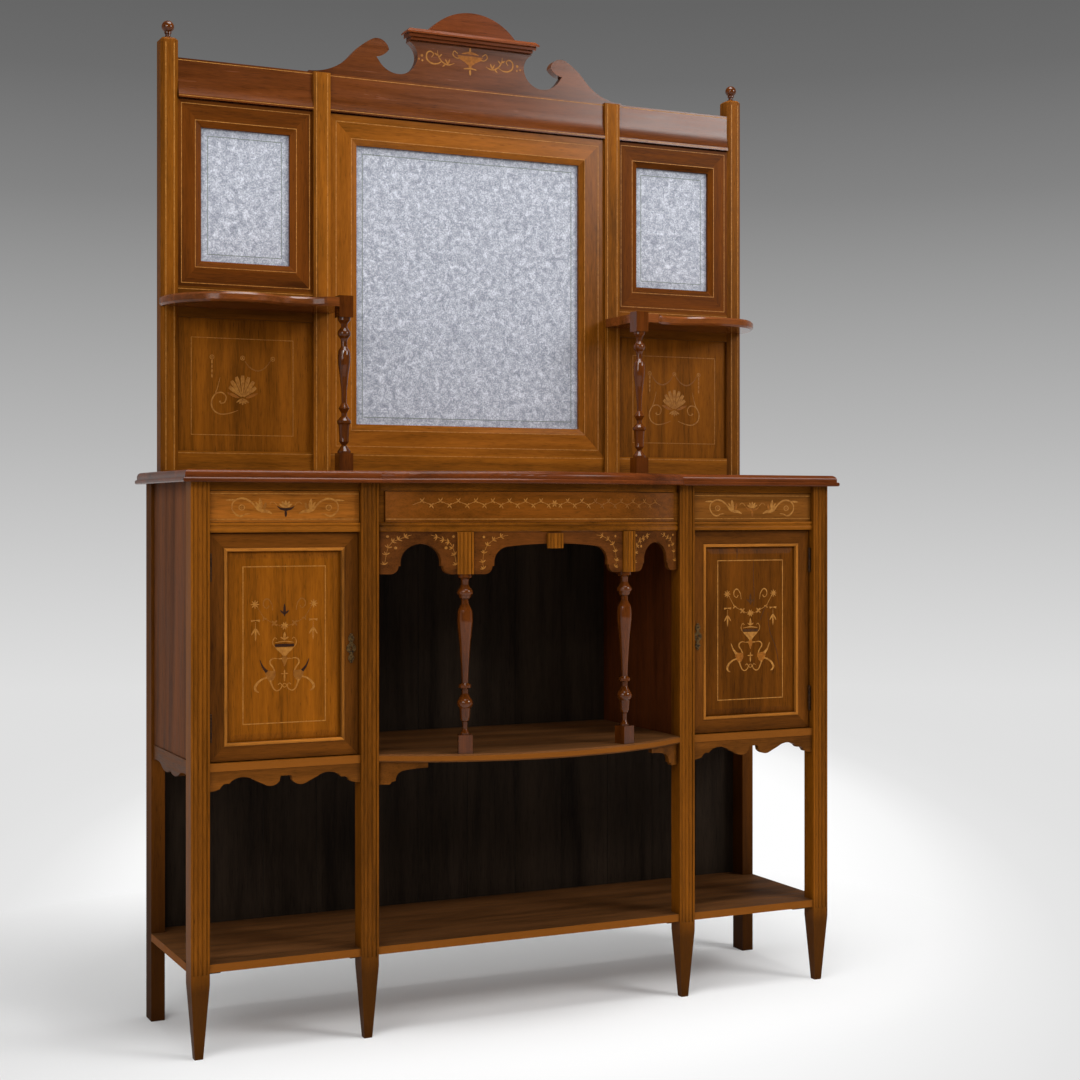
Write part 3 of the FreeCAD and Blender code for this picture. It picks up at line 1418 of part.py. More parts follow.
for what, right_piece in zip(("front", "box"), side_drawer()):
    keep(f"drawer_{what}_right", right_piece)
    keep(f"drawer_{what}_left", mirrored(f"drawer_{what}_twin", right_piece))
for what, centre_piece in zip(("front", "box"), centre_drawer()):
    keep(f"drawer_{what}_centre", centre_piece)

keep("posts", pair("post_pair", post()))
keep("finials", pair("finial_pair", finial()))
keep("stiles", pair("stile_pair", stile()))
keep("head_rails", head_rails())
keep("base_rails", base_rails())
keep("cross_rails", pair("cross_rail_pair", cross_rail()))
keep("niche_panels", pair("niche_panel_pair", niche_panel()))

side_frame, side_glass, side_board = mirror_set(
    "side_mirror", (STILE_OUTER_X, POST_INNER_X), (CROSS_RAIL_TOP, FRAME_TOP),
    (s.side_member, s.side_head_member))
centre_frame, centre_glass, centre_board = mirror_set(
    "centre_mirror", (-STILE_INNER_X, STILE_INNER_X), (BASE_RAIL_TOP, FRAME_TOP),
    (s.centre_member, s.centre_member))
keep("mirror_frames_side", pair("side_frame_pair", group("side_frame", side_frame)))
keep("mirror_frame_centre", group("centre_frame", centre_frame))
keep("mirrors_side", pair("side_glass_pair", side_glass))
keep("mirror_centre", centre_glass)
keep("mirror_backboards", group("mirror_board_set", [
    side_board, mirrored("side_board_twin", side_board), centre_board]))

keep("niche_shelves", pair("niche_shelf_pair", niche_shelf()))
keep("niche_spindles", pair("niche_spindle_pair", niche_spindle()))
keep("pediment", pediment())
keep("pediment_cap", pediment_cap())

# ---- Checks and files ----

doc.recompute()
for item in doc.Objects:
    if "Invalid" in item.State or "Error" in item.State:
        raise RuntimeError(f"{item.Label}: {item.State}")
for name, item in parts.items():
    if item.Shape.isNull() or not item.Shape.isValid() or not item.Shape.Solids:
        raise RuntimeError(f"{name}: no valid solid")

os.makedirs("parts", exist_ok=True)
for name, item in parts.items():
    item.Shape.exportStep(f"parts/{name}.step")
print(len(parts), "sub-parts,", sum(len(item.Shape.Solids) for item in parts.values()), "solids")
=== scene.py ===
"""Looks of the inlaid walnut mirror-back chiffonier: camera, light, woods and inlays.

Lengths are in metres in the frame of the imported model. The inlays are drawn in
millimetres: across from the middle of their surface, and up from the floor.
"""

import math

import bmesh
import bpy
from mathutils import Euler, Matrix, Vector


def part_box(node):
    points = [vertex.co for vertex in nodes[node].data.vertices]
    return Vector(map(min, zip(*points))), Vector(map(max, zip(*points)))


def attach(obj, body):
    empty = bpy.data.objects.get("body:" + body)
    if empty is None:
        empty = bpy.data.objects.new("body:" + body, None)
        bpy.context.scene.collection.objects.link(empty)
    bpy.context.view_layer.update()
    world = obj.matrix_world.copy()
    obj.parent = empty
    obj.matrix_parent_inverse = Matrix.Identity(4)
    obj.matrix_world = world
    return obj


MM = 0.001

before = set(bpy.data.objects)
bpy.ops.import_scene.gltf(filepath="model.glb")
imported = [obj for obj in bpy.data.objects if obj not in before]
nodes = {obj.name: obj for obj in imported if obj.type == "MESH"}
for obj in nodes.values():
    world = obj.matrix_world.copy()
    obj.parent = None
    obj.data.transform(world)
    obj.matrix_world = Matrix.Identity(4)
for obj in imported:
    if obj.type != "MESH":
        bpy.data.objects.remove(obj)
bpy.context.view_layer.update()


def low(node):
    """The lowest corner of a node at rest."""
    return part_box(node)[0]


def high(node):
    """The highest corner of a node at rest."""
    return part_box(node)[1]


# ---- Camera ----

CAMERA_SPOT = (-1.508, -3.290, 0.963)
CAMERA_TURN = -25.57
CAMERA_LENS = 61.35
SENSOR_WIDTH = 36
CAMERA_SHIFT = -0.0249


def make_camera():
    """A level camera to the left of the front, shifted down a little."""
    data = bpy.data.cameras.new("camera")
    data.lens = CAMERA_LENS
    data.sensor_width = SENSOR_WIDTH
    data.shift_y = CAMERA_SHIFT
    camera = bpy.data.objects.new("camera", data)
    camera.location = CAMERA_SPOT
    camera.rotation_euler = Euler((math.radians(90), 0, math.radians(CAMERA_TURN)))
    bpy.context.scene.collection.objects.link(camera)
    bpy.context.scene.camera = camera
    bpy.context.scene.view_settings.view_transform = "Standard"


# ---- Shader helpers ----


def linear(red, green, blue):
    """A colour given by its 0 to 255 display values."""
    shares = [value / 255 for value in (red, green, blue)]
    return tuple(((v + 0.055) / 1.055) ** 2.4 if v > 0.04045 else v / 12.92 for v in shares)


def scaled(colour, share):
    """A colour, or any numbers, times a share."""
    return tuple(part * share for part in colour)


class Nodes:
    """A node tree with short ways to add and join its nodes."""

    def __init__(self, tree):
        self.tree = tree
        tree.nodes.clear()

    def add(self, kind, inputs=None, **settings):
        """A new node; its inputs are values or the outputs of other nodes."""
        item = self.tree.nodes.new("ShaderNode" + kind)
        for key, value in settings.items():
            setattr(item, key, value)
        for key, value in (inputs or {}).items():
            self.join(item.inputs[key], value)
        return item

    def join(self, socket, value):
        """Link an output to a socket, or set the socket to a value."""
        if isinstance(value, bpy.types.NodeSocket):
            self.tree.links.new(value, socket)
        elif isinstance(value, tuple) and len(value) == 3 and socket.type == "RGBA":
            socket.default_value = (*value, 1)
        else:
            socket.default_value = value

    def math(self, operation, *values, clamp=False):
        """The result of a sum on values."""
        inputs = dict(enumerate(values))
        return self.add("Math", inputs, operation=operation, use_clamp=clamp).outputs[0]

    def mix(self, share, first, second, blend="MIX"):
        """A mix of two colours."""
        item = self.add("Mix", {0: share}, data_type="RGBA", blend_type=blend)
        self.join(item.inputs[6], first)
        self.join(item.inputs[7], second)
        return item.outputs[2]

    def ramp(self, share, stops):
        """A colour ramp; each stop is (place, colour)."""
        item = self.add("ValToRGB", {0: share})
        elements = item.color_ramp.elements
        for index, (place, colour) in enumerate(stops):
            stop = elements[index] if index < 2 else elements.new(place)
            stop.position = place
            stop.color = (*colour, 1)
        return item.outputs[0]

    def noise(self, vector, scale, detail=3.0, roughness=0.55, distortion=0.0):
        """A soft noise from 0 to 1."""
        item = self.add("TexNoise", {"Vector": vector, "Scale": scale, "Detail": detail,
                                     "Roughness": roughness, "Distortion": distortion})
        return item.outputs["Fac"]

    def span(self, value, start, end, to_start=0.0, to_end=1.0):
        """A value moved from one range to another, and kept inside it."""
        item = self.add("MapRange", {0: value, 1: start, 2: end, 3: to_start, 4: to_end})
        return item.outputs[0]


def new_material(name):
    """A material and its empty node tree."""
    material = bpy.data.materials.new(name)
    material.use_nodes = True
    return material, Nodes(material.node_tree)


def object_place(n):
    """The place on the object as a vector."""
    return n.add("TexCoord").outputs["Object"]


def split(n, vector):
    """The X, Y and Z parts of a vector."""
    return n.add("SeparateXYZ", {0: vector}).outputs


def close_surface(n, shader):
    """Join a shader to the material's output."""
    output = n.add("OutputMaterial")
    n.tree.links.new(shader, output.inputs["Surface"])


# ---- Stage and light ----

FLOOR_RADIUS = 7.0
STAGE_SIDES = 96
WALL_HEIGHT = 9.0
# Tones by share of the wall's height, as grey display values.
WALL_TONES = [(0.0, 223), (0.037, 215), (0.077, 205), (0.153, 183), (0.23, 160), (0.306, 131),
              (0.383, 108), (0.43, 100), (1.0, 60)]
DIM_ROOM = 0.15
DIM_PLACE = -3.5


def greys(tones):
    """Stops of a colour ramp from grey display values."""
    return [(where, linear(tone, tone, tone)) for where, tone in tones]


def seen_shares(n):
    """Whether a ray comes from the camera, and whether it shows the stage or its reflection."""
    path = n.add("LightPath").outputs
    mirrored = n.math("MAXIMUM", path["Is Glossy Ray"], path["Is Transmission Ray"])
    return path["Is Camera Ray"], n.math("MAXIMUM", path["Is Camera Ray"], mirrored)


def wall_material():
    """A wall that fades from pale at the floor to grey above, and lets light through.

    The half of the room in front of the piece is dim where the gloss reflects it.
    """
    material, n = new_material("stage_wall")
    place = split(n, object_place(n))
    share = n.math("DIVIDE", place["Z"], WALL_HEIGHT, clamp=True)
    colour = n.ramp(share, greys(WALL_TONES))
    by_camera, seen = seen_shares(n)
    dim = n.span(place["Y"], 0.0, DIM_PLACE, 1.0, DIM_ROOM)
    strength = n.math("MAXIMUM", by_camera, dim)
    glow = n.add("Emission", {"Color": colour, "Strength": strength}).outputs[0]
    clear = n.add("BsdfTransparent").outputs[0]
    close_surface(n, n.add("MixShader", {0: seen, 1: clear, 2: glow}).outputs[0])
    return material


FLOOR_PALE = 0.84
FLOOR_GLOW = 0.08
# A painted pool of light on the floor: an oval, with its tones by distance from its middle.
PAINTED_POOL_CENTRE = (0.975, 1.97, 0.0)
PAINTED_POOL_TURN = -25.6
PAINTED_POOL_HALVES = (1.12, 2.9, 1.0)
PAINTED_POOL_REACH = 3.0
PAINTED_POOL_TONES = [(0.0, 255), (0.27, 255), (0.33, 248), (0.37, 238), (0.41, 230), (0.48, 226),
              (0.6, 224), (0.92, 223)]
# The oval round the feet where the floor takes light and shadow.
MATT_CENTRE = (-0.05, 0.42, 0.0)
MATT_HALVES = (1.4, 1.0, 1.0)
MATT_REACH = (0.5, 1.0)


def oval_distance(n, centre, halves, turn=0.0):
    """The distance from the middle of an oval, which is 1 at its edge."""
    place = n.add("Mapping", {
        "Vector": object_place(n), "Location": centre,
        "Rotation": (0.0, 0.0, math.radians(turn)), "Scale": halves},
        vector_type="TEXTURE").outputs[0]
    return n.add("VectorMath", {0: place}, operation="LENGTH").outputs["Value"]


def floor_material():
    """Pale matt floor with a long painted pool of light in its colour; far away it has the tone of
    the wall's foot.
    """
    material, n = new_material("stage_floor")
    away = oval_distance(n, PAINTED_POOL_CENTRE, PAINTED_POOL_HALVES, PAINTED_POOL_TURN)
    # Painted light: the pool's bright tones go into the floor's colour and into its glow.
    tone = n.ramp(n.math("DIVIDE", away, PAINTED_POOL_REACH), greys(PAINTED_POOL_TONES))
    painted_pool_paper = n.mix(1.0, tone, (FLOOR_PALE,) * 3, "MULTIPLY")
    matt = n.add("BsdfDiffuse", {"Color": painted_pool_paper}).outputs[0]
    near_glow = n.add("Emission", {"Color": tone, "Strength": FLOOR_GLOW}).outputs[0]
    near = n.add("AddShader", {0: matt, 1: near_glow}).outputs[0]
    far = n.add("Emission", {"Color": tone, "Strength": 1.0}).outputs[0]
    _, seen = seen_shares(n)
    reach = oval_distance(n, MATT_CENTRE, MATT_HALVES)
    fade = n.math("MULTIPLY", seen, n.span(reach, *MATT_REACH))
    close_surface(n, n.add("MixShader", {0: fade, 1: near, 2: far}).outputs[0])
    return material


def link(name, mesh, material=None):
    """A new object in the scene."""
    thing = bpy.data.objects.new(name, mesh)
    if material:
        mesh.materials.append(material)
    bpy.context.scene.collection.objects.link(thing)
    return thing


def mesh_of(name, grid):
    """A mesh made of a grid, which is used up."""
    mesh = bpy.data.meshes.new(name)
    grid.to_mesh(mesh)
    grid.free()
    return mesh


def make_stage():
    """A round floor with a high wall around it."""
    grid = bmesh.new()
    bmesh.ops.create_circle(grid, cap_ends=True, radius=FLOOR_RADIUS, segments=STAGE_SIDES)
    floor = link("stage_floor", mesh_of("stage_floor", grid), floor_material())
    grid = bmesh.new()
    bmesh.ops.create_circle(grid, radius=FLOOR_RADIUS, segments=STAGE_SIDES)
    top = bmesh.ops.extrude_edge_only(grid, edges=grid.edges[:])
    lifted = [item for item in top["geom"] if isinstance(item, bmesh.types.BMVert)]
    bmesh.ops.translate(grid, verts=lifted, vec=(0, 0, WALL_HEIGHT))
    wall = link("stage_wall", mesh_of("stage_wall", grid), wall_material())
    wall.visible_shadow = False


AIM = Vector((0, 0, 1.0))
# Each lamp is (place, size, power); all of them point at AIM.
LAMPS = {
    "lamp_right": ((2.75, -3.1, 2.9), 1.4, 88),
    "lamp_left": ((-2.9, -2.3, 2.3), 1.8, 44),
    "lamp_top": ((0.1, -0.5, 4.2), 2.0, 105),
    "lamp_spark": ((-2.1, -3.3, 2.5), 0.25, 14),
}
WORLD_LIGHT = 0.36
WORLD_GLOSS = 0.12


def make_light():
    """Soft lamps, and an even world that is dimmer in reflections."""
    for name, (spot, size, power) in LAMPS.items():
        data = bpy.data.lights.new(name, "AREA")
        data.size = size
        data.energy = power
        lamp = bpy.data.objects.new(name, data)
        lamp.location = spot
        lamp.rotation_euler = (AIM - Vector(spot)).to_track_quat("-Z", "Y").to_euler()
        bpy.context.scene.collection.objects.link(lamp)
    world = bpy.data.worlds.new("world")
    world.use_nodes = True
    n = Nodes(world.node_tree)
    mirrored = n.add("LightPath").outputs["Is Glossy Ray"]
    strength = n.span(mirrored, 0.0, 1.0, WORLD_LIGHT, WORLD_GLOSS)
    sky = n.add("Background", {"Color": (1.0, 1.0, 1.0), "Strength": strength})
    n.tree.links.new(sky.outputs[0], n.add("OutputWorld").inputs["Surface"])
    bpy.context.scene.world = world


# ---- Woods ----

# The middle tone of each wood, as a display colour.
LEG = (106, 59, 9)
PANEL_LEFT = (116, 64, 8)
PANEL_RIGHT = (90, 48, 6)
STILE = (92, 50, 10)
FRONT_LEFT = (142, 82, 24)
FRONT_RIGHT = (106, 62, 18)
BOW = (104, 56, 10)
EDGE = (92, 43, 13)
GOLD = (122, 69, 15)
APRON = (96, 54, 14)
DULL_GOLD = (88, 44, 6)
HEAD = (84, 40, 6)
NICHE = (116, 65, 10)
SIDE = (102, 61, 36)
RAIL = (126, 72, 14)
SHELF = (92, 58, 30)
SMALL_SHELF = (110, 58, 22)
FLOOR_EDGE = (122, 70, 20)
INNER = (76, 36, 12)
# Painted shade: a near-black tone matched to the deep shade of the open recess, for its back
# boards and the corner blocks.
RECESS_SHADE_BLACK = (40, 31, 23)
TURNING = (82, 39, 7)
FRET = (90, 48, 14)
PINE = (146, 108, 66)
BEAD = (150, 92, 32)

GRAIN_STRETCH = 0.07
SEED_STEP = (1.7, 0.9, 0.37)


def grain_vector(n, grain, seed):
    """Coordinates stretched along the grain, which runs along x, y, z or round a frame."""
    parts = split(n, object_place(n))
    x, y, z = parts["X"], parts["Y"], parts["Z"]
    if isinstance(grain, tuple):
        centre_x, centre_z, half_x, half_z = grain
        side = n.math("ABSOLUTE", n.math("SUBTRACT", n.math("ABSOLUTE", x), centre_x))
        level = n.math("ABSOLUTE", n.math("SUBTRACT", z, centre_z))
        to_side = n.math("SUBTRACT", half_x, side)
        to_level = n.math("SUBTRACT", half_z, level)
        upright = n.math("LESS_THAN", to_side, to_level)
        along = n.add("Mix", {0: upright, 2: x, 3: z}).outputs[0]
        across = n.add("Mix", {0: upright, 2: z, 3: x}).outputs[0]
        deep = y
    else:
        along, across, deep = {"x": (x, z, y), "y": (y, z, x), "z": (z, x, y)}[grain]
    slow = n.math("MULTIPLY", along, GRAIN_STRETCH)
    moved = n.add("CombineXYZ", {0: across, 1: deep, 2: slow}).outputs[0]
    return n.add("VectorMath", {0: moved, 1: scaled(SEED_STEP, seed)},
                 operation="ADD").outputs[0]


# Each finish is (roughness, specular level).
SATIN = (0.42, 0.04)
POLISHED = (0.22, 0.13)
GLOSSY = (0.24, 0.30)
TURNED = (0.09, 0.34)
BURNISHED = (0.14, 0.25)
MATT = (0.60, 0.04)

# Each noise is (scale, detail, roughness, distortion), and SHARES is what each
# one adds to the figure of the wood.
BROAD = (13, 3, 0.5, 0.8)
STREAKS = (95, 4, 0.6, 0.3)
FIBRES = (620, 2, 0.6)
RIPPLE = (30, 2)
SHARES = (0.62, 0.38, 0.26)
FIGURE_SPAN = (0.32, 0.68)
PORE_SPAN = (0.36, 0.26)
PORE_STRENGTH = 0.55
# The tones of a wood as shares of its middle tone.
DARK_SHARE = 0.42
LIGHT_SHARE = 1.55
PORE_SHARE = 0.22
CORNER_SHADE_SHARE = 0.10
EDGE_SHARES = (0.7, 1.3)
EDGE_SPAN = (0.75, 0.55)
# Painted shade: ambient occlusion darkens the colour where a corner is closed in.
CORNER_SHADE_REACH = 0.035
CORNER_SHADE_SPAN = (0.75, 0.15)
CORNER_SHADE_STRENGTH = 0.55
# The streaks vary the roughness, and the fibres and ripples make the relief.
ROUGH_SPAN = (0.2, 0.8)
ROUGH_SHARES = (0.8, 1.25)
RELIEF_SHARES = (0.35, 0.65)
RELIEF_STRENGTH = 0.3
RELIEF_DEPTH = 0.0012
FEET_STRENGTH = 0.75


def wood(name, tone, grain, seed, finish, edge=None, feet=None):
    """Polished wood with figure, streaks, pores and painted shade in its corners.

    Its upright faces can have an edge tone of their own, and its feet can
    darken between two heights.
    """
    gloss, shine = finish
    middle = linear(*tone)
    dark, light, pore = (scaled(middle, share) for share in (DARK_SHARE, LIGHT_SHARE, PORE_SHARE))
    material, n = new_material(name)
    vector = grain_vector(n, grain, seed)
    broad, streaks, fibres, ripple = (
        n.noise(vector, *look) for look in (BROAD, STREAKS, FIBRES, RIPPLE))
    parts = (broad, streaks, n.math("SUBTRACT", fibres, 0.5))
    share, *others = (n.math("MULTIPLY", *pair) for pair in zip(parts, SHARES))
    for other in others:
        share = n.math("ADD", share, other)
    colour = n.ramp(n.span(share, *FIGURE_SPAN), [(0.0, dark), (0.5, middle), (1.0, light)])
    pores = n.math("MULTIPLY", n.span(fibres, *PORE_SPAN), PORE_STRENGTH)
    colour = n.mix(pores, colour, pore)
    if edge:
        facing = split(n, n.add("NewGeometry").outputs["Normal"])["Z"]
        upright = n.span(n.math("ABSOLUTE", facing), *EDGE_SPAN)
        tones = (scaled(linear(*edge), part) for part in EDGE_SHARES)
        colour = n.mix(upright, colour, n.mix(share, *tones))
    if feet:
        height = split(n, object_place(n))["Z"]
        colour = n.mix(n.span(height, *feet, 0.0, FEET_STRENGTH), colour, pore)
    # Painted shade: the ambient occlusion darkens the colour in closed-in corners.
    corner = n.add("AmbientOcclusion", {"Distance": CORNER_SHADE_REACH}, samples=2).outputs["AO"]
    corner_shade = n.span(corner, *CORNER_SHADE_SPAN, 0.0, CORNER_SHADE_STRENGTH)
    colour = n.mix(corner_shade, colour, scaled(middle, CORNER_SHADE_SHARE))
    rough = n.span(streaks, *ROUGH_SPAN, *scaled(ROUGH_SHARES, gloss))
    relief = n.math("ADD", *(n.math("MULTIPLY", *pair)
                             for pair in zip((fibres, ripple), RELIEF_SHARES)))
    bump = n.add("Bump", {"Height": relief, "Strength": RELIEF_STRENGTH * gloss,
                          "Distance": RELIEF_DEPTH}).outputs[0]
    surface = n.add("BsdfPrincipled", {
        "Base Color": colour, "Roughness": rough, "Normal": bump, "Specular IOR Level": shine})
    close_surface(n, surface.outputs[0])
    return material


def frame_grain(node, ends=None):
    """A mitred frame, for its grain: its centre and half sizes on the right-hand side.

    The ends are where the frame begins and ends across, in millimetres. Without
    them they are those of the node.
    """
    bottom, top = low(node).z, high(node).z
    if ends:
        near, far = (end * MM for end in ends)
    else:
        near, far = sorted((abs(low(node).x), abs(high(node).x)))
    return (near + far) / 2, (bottom + top) / 2, (far - near) / 2, (top - bottom) / 2


# The bays of the mirror back between its posts and stiles, in millimetres.
SIDE_BAY = (342, 612)
CENTRE_BAY = 307

# Each wooden node has its tone and its grain.
WOODEN = {
    "leg_outer_left": (LEG, "z"), "leg_inner_left": (LEG, "z"),
    "leg_inner_right": (LEG, "z"), "leg_outer_right": (LEG, "z"),
    "back_legs": (STILE, "z"), "side_panels": (SIDE, "z"), "side_aprons": (STILE, "y"),
    "partitions": (INNER, "z"), "cupboard_floors": (LEG, "x"), "centre_shelf": (SHELF, "x"),
    "bottom_shelf": (SHELF, "x"), "corner_blocks": (RECESS_SHADE_BLACK, "x"), "top_board": (EDGE, "x"),
    "frieze_rails": (LEG, "x"), "moulded_rails": (RAIL, "x"), "bow_rail": (LEG, "x"),
    "dust_boards": (PINE, "y"), "back_boards": (RECESS_SHADE_BLACK, "z"), "front_aprons": (APRON, "x"),
    "arcade_fret": (FRET, "x"), "arcade_blocks": (RAIL, "z"), "long_spindles": (TURNING, "z"),
    "shelf_brackets": (APRON, "x"), "posts": (LEG, "z"), "finials": (TURNING, "z"),
    "stiles": (RAIL, "z"), "head_rails": (HEAD, "x"), "base_rails": (RAIL, "x"),
    "cross_rails": (LEG, "x"), "niche_panels": (NICHE, "z"), "niche_shelves": (SMALL_SHELF, "x"),
    "niche_spindles": (TURNING, "z"), "pediment": (HEAD, "x"), "pediment_cap": (EDGE, "x"),
    "mirror_backboards": (PINE, "z"),
    "mirror_frames_side": (DULL_GOLD, frame_grain("mirror_frames_side", SIDE_BAY)),
    "mirror_frame_centre": (
        GOLD, frame_grain("mirror_frame_centre", (-CENTRE_BAY, CENTRE_BAY))),
    "door_panel_left": (PANEL_LEFT, "z"), "door_panel_right": (PANEL_RIGHT, "z"),
    "drawer_front_left": (FRONT_LEFT, "x"), "drawer_front_right": (FRONT_RIGHT, "x"),
    "drawer_front_centre": (BOW, "x"),
}
for side in ("left", "right"):
    WOODEN[f"door_frame_{side}"] = (STILE, frame_grain(f"door_frame_{side}"))
    WOODEN[f"door_bead_{side}"] = (BEAD, frame_grain(f"door_bead_{side}"))
for side in ("left", "right", "centre"):
    WOODEN[f"drawer_box_{side}"] = (PINE, "y")

FINISHES = {
    "long_spindles": TURNED, "niche_spindles": TURNED, "finials": TURNED,
    "top_board": POLISHED, "niche_shelves": BURNISHED, "pediment_cap": POLISHED,
    "head_rails": GLOSSY, "pediment": GLOSSY, "bow_rail": POLISHED,
    "mirror_frame_centre": POLISHED, "drawer_front_centre": POLISHED,
    "side_panels": MATT, "back_boards": MATT, "partitions": MATT, "dust_boards": MATT,
    "bottom_shelf": MATT, "centre_shelf": MATT, "mirror_backboards": MATT, "back_legs": MATT,
}
EDGES = {"centre_shelf": FLOOR_EDGE, "bottom_shelf": FLOOR_EDGE, "cupboard_floors": FLOOR_EDGE}
FOOT_HEIGHTS = (0.18, 0.12)
BACK_FOOT_HEIGHTS = (0.50, 0.20)
FEET = {"back_legs": BACK_FOOT_HEIGHTS}
for leg in ("outer_left", "inner_left", "inner_right", "outer_right"):
    FEET["leg_" + leg] = FOOT_HEIGHTS


def dress(node, material):
    """Give a CAD node its material."""
    slots = nodes[node].material_slots
    if not slots:
        nodes[node].data.materials.append(material)
    for slot in slots:
        slot.material = material


def dress_wood():
    """A wood of its own for each wooden node."""
    for seed, (node, (tone, grain)) in enumerate(WOODEN.items()):
        dress(node, wood(node + "_wood", tone, grain, seed, FINISHES.get(node, SATIN),
                         EDGES.get(node), FEET.get(node)))


# ---- Glass and metal ----

MOTTLE_SPAN = (0.38, 0.62)
# Pale greys for the mirrors: a painted reflection, mottled like an old plate.
MOTTLE_AND_REFLECTION_TONES = [(0.0, linear(124, 129, 140)), (0.5, linear(162, 165, 175)),
                (1.0, linear(208, 211, 219))]
CLOUDS = (75, 4, 0.7, 0.8)
GRAINS = (330, 3, 0.7)


def mirror_glass():
    """Silvered glass drawn as a pale mottled grey, a painted reflection, with the soft mottling of
    an old plate.
    """
    material, n = new_material("old_mirror")
    place = object_place(n)
    clouds, grains = (n.math("MULTIPLY", n.noise(place, *look), 0.5) for look in (CLOUDS, GRAINS))
    colour = n.ramp(n.span(n.math("ADD", clouds, grains), *MOTTLE_SPAN), MOTTLE_AND_REFLECTION_TONES)
    surface = n.add("BsdfPrincipled", {
        "Base Color": colour, "Specular IOR Level": 0.12, "Roughness": 0.5})
    close_surface(n, surface.outputs[0])
    return material


# Each metal has its bright tone, its tarnish and its roughness.
METALS = {
    "old_brass": ((112, 84, 44), (40, 30, 20), 0.45),
    "stained_brass": ((74, 46, 22), (36, 23, 14), 0.6),
    "dark_steel": ((92, 90, 88), (44, 40, 38), 0.5),
}
PATCHES = (260, 4, 0.65)


def metal(name, bright, tarnish, rough):
    """Metal with dull patches of tarnish."""
    material, n = new_material(name)
    patches = n.noise(object_place(n), *PATCHES)
    colour = n.ramp(n.span(patches, 0.38, 0.62), [(0.0, linear(*tarnish)), (1.0, linear(*bright))])
    grit = n.add("Bump", {"Height": patches, "Strength": 0.2, "Distance": 0.0004}).outputs[0]
    surface = n.add("BsdfPrincipled", {
        "Base Color": colour, "Metallic": 0.8, "Normal": grit,
        "Roughness": n.span(patches, 0.3, 0.7, rough + 0.15, rough - 0.05)})
    close_surface(n, surface.outputs[0])
    return material


def dress_hardware():
    """The mirrors, hinges, escutcheons and locks."""
    glass = mirror_glass()
    for node in ("mirror_centre", "mirrors_side"):
        dress(node, glass)
    old_brass, stained_brass, steel = (metal(name, *look) for name, look in METALS.items())
    dress("hinge_leaves_fixed", stained_brass)
    for side in ("left", "right"):
        for what, material in (("hinges", stained_brass), ("escutcheon", old_brass),
                               ("bolt", old_brass), ("lock", steel)):
            dress(f"door_{what}_{side}", material)


# ---- Inlays ----

# An inlay is proud of the wood and sunk into it by this much, in millimetres;
# each piece is a hair prouder than the one before, so that none lie in one plane.
PROUD = 0.12
SUNK = 0.25
HAIR = 0.006
HAIRS = 40
VEINS = (150, 3, 0.6)
# The dull and the bright tone of each veneer.
INLAY_COLOURS = {
    "boxwood": ((138, 88, 32), (172, 118, 52)),
    "honey": ((136, 84, 26), (164, 110, 44)),
    "amber": ((118, 66, 12), (148, 88, 22)),
    "dark": ((34, 16, 6), (52, 26, 10)),
    "dusk": ((56, 32, 10), (78, 44, 14)),
    "faint": ((116, 68, 16), (136, 84, 24)),
    "bevel": ((104, 112, 106), (128, 136, 132)),
}
TONES = tuple(INLAY_COLOURS)
# Steps of a curve between two of its points, and of half a disc.
CURVE_STEPS = 5
DISC_STEPS = 8
# Steps of a ring; its half turn is a hair longer, so that its ends don't meet.
RING_STEPS = 20
RING_HALF = 10.05


def inlay_materials():
    """One thin veneer for each tone, a little uneven along its length."""
    made = []
    for tone in TONES:
        material, n = new_material("inlay_" + tone)
        share = n.span(n.noise(object_place(n), *VEINS), 0.35, 0.65)
        dull, bright = (linear(*colour) for colour in INLAY_COLOURS[tone])
        surface = n.add("BsdfPrincipled", {
            "Base Color": n.mix(share, dull, bright), "Roughness": 0.42,
            "Specular IOR Level": 0.15})
        close_surface(n, surface.outputs[0])
        made.append(material)
    return made


def flat(node, depth=0.0):
    """The front face of a node, upright and level, or a face at a depth behind it."""
    y = low(node).y + depth
    return lambda u, v, proud: (u * MM, y - proud * MM, v * MM)


RECESS_HALF = low("leg_inner_right").x
LEG_FRONT = low("leg_inner_right").y
BOW_RISE = 0.092
BOW_SETBACK = 0.008
BOW_RADIUS = (RECESS_HALF ** 2 + BOW_RISE ** 2) / (2 * BOW_RISE)
BOW_CENTRE = LEG_FRONT - BOW_RISE + BOW_RADIUS


def bowed(u, v, proud):
    """The bowed face of the middle drawer, the frieze above it and the fret."""
    x = u * MM
    radius = BOW_RADIUS - BOW_SETBACK + proud * MM
    return x, BOW_CENTRE - math.sqrt(radius ** 2 - x ** 2), v * MM


def spline(points):
    """A smooth curve through points."""
    ends = [points[0]] + list(points) + [points[-1]]
    curve = []
    for before, start, end, after in zip(ends, ends[1:], ends[2:], ends[3:]):
        for step in range(CURVE_STEPS):
            t = step / CURVE_STEPS
            curve.append(tuple(
                0.5 * (2 * b + (c - a) * t + (2 * a - 5 * b + 4 * c - d) * t * t
                       + (3 * b - a - 3 * c + d) * t ** 3)
                for a, b, c, d in zip(before, start, end, after)))
    return curve + [tuple(points[-1])]


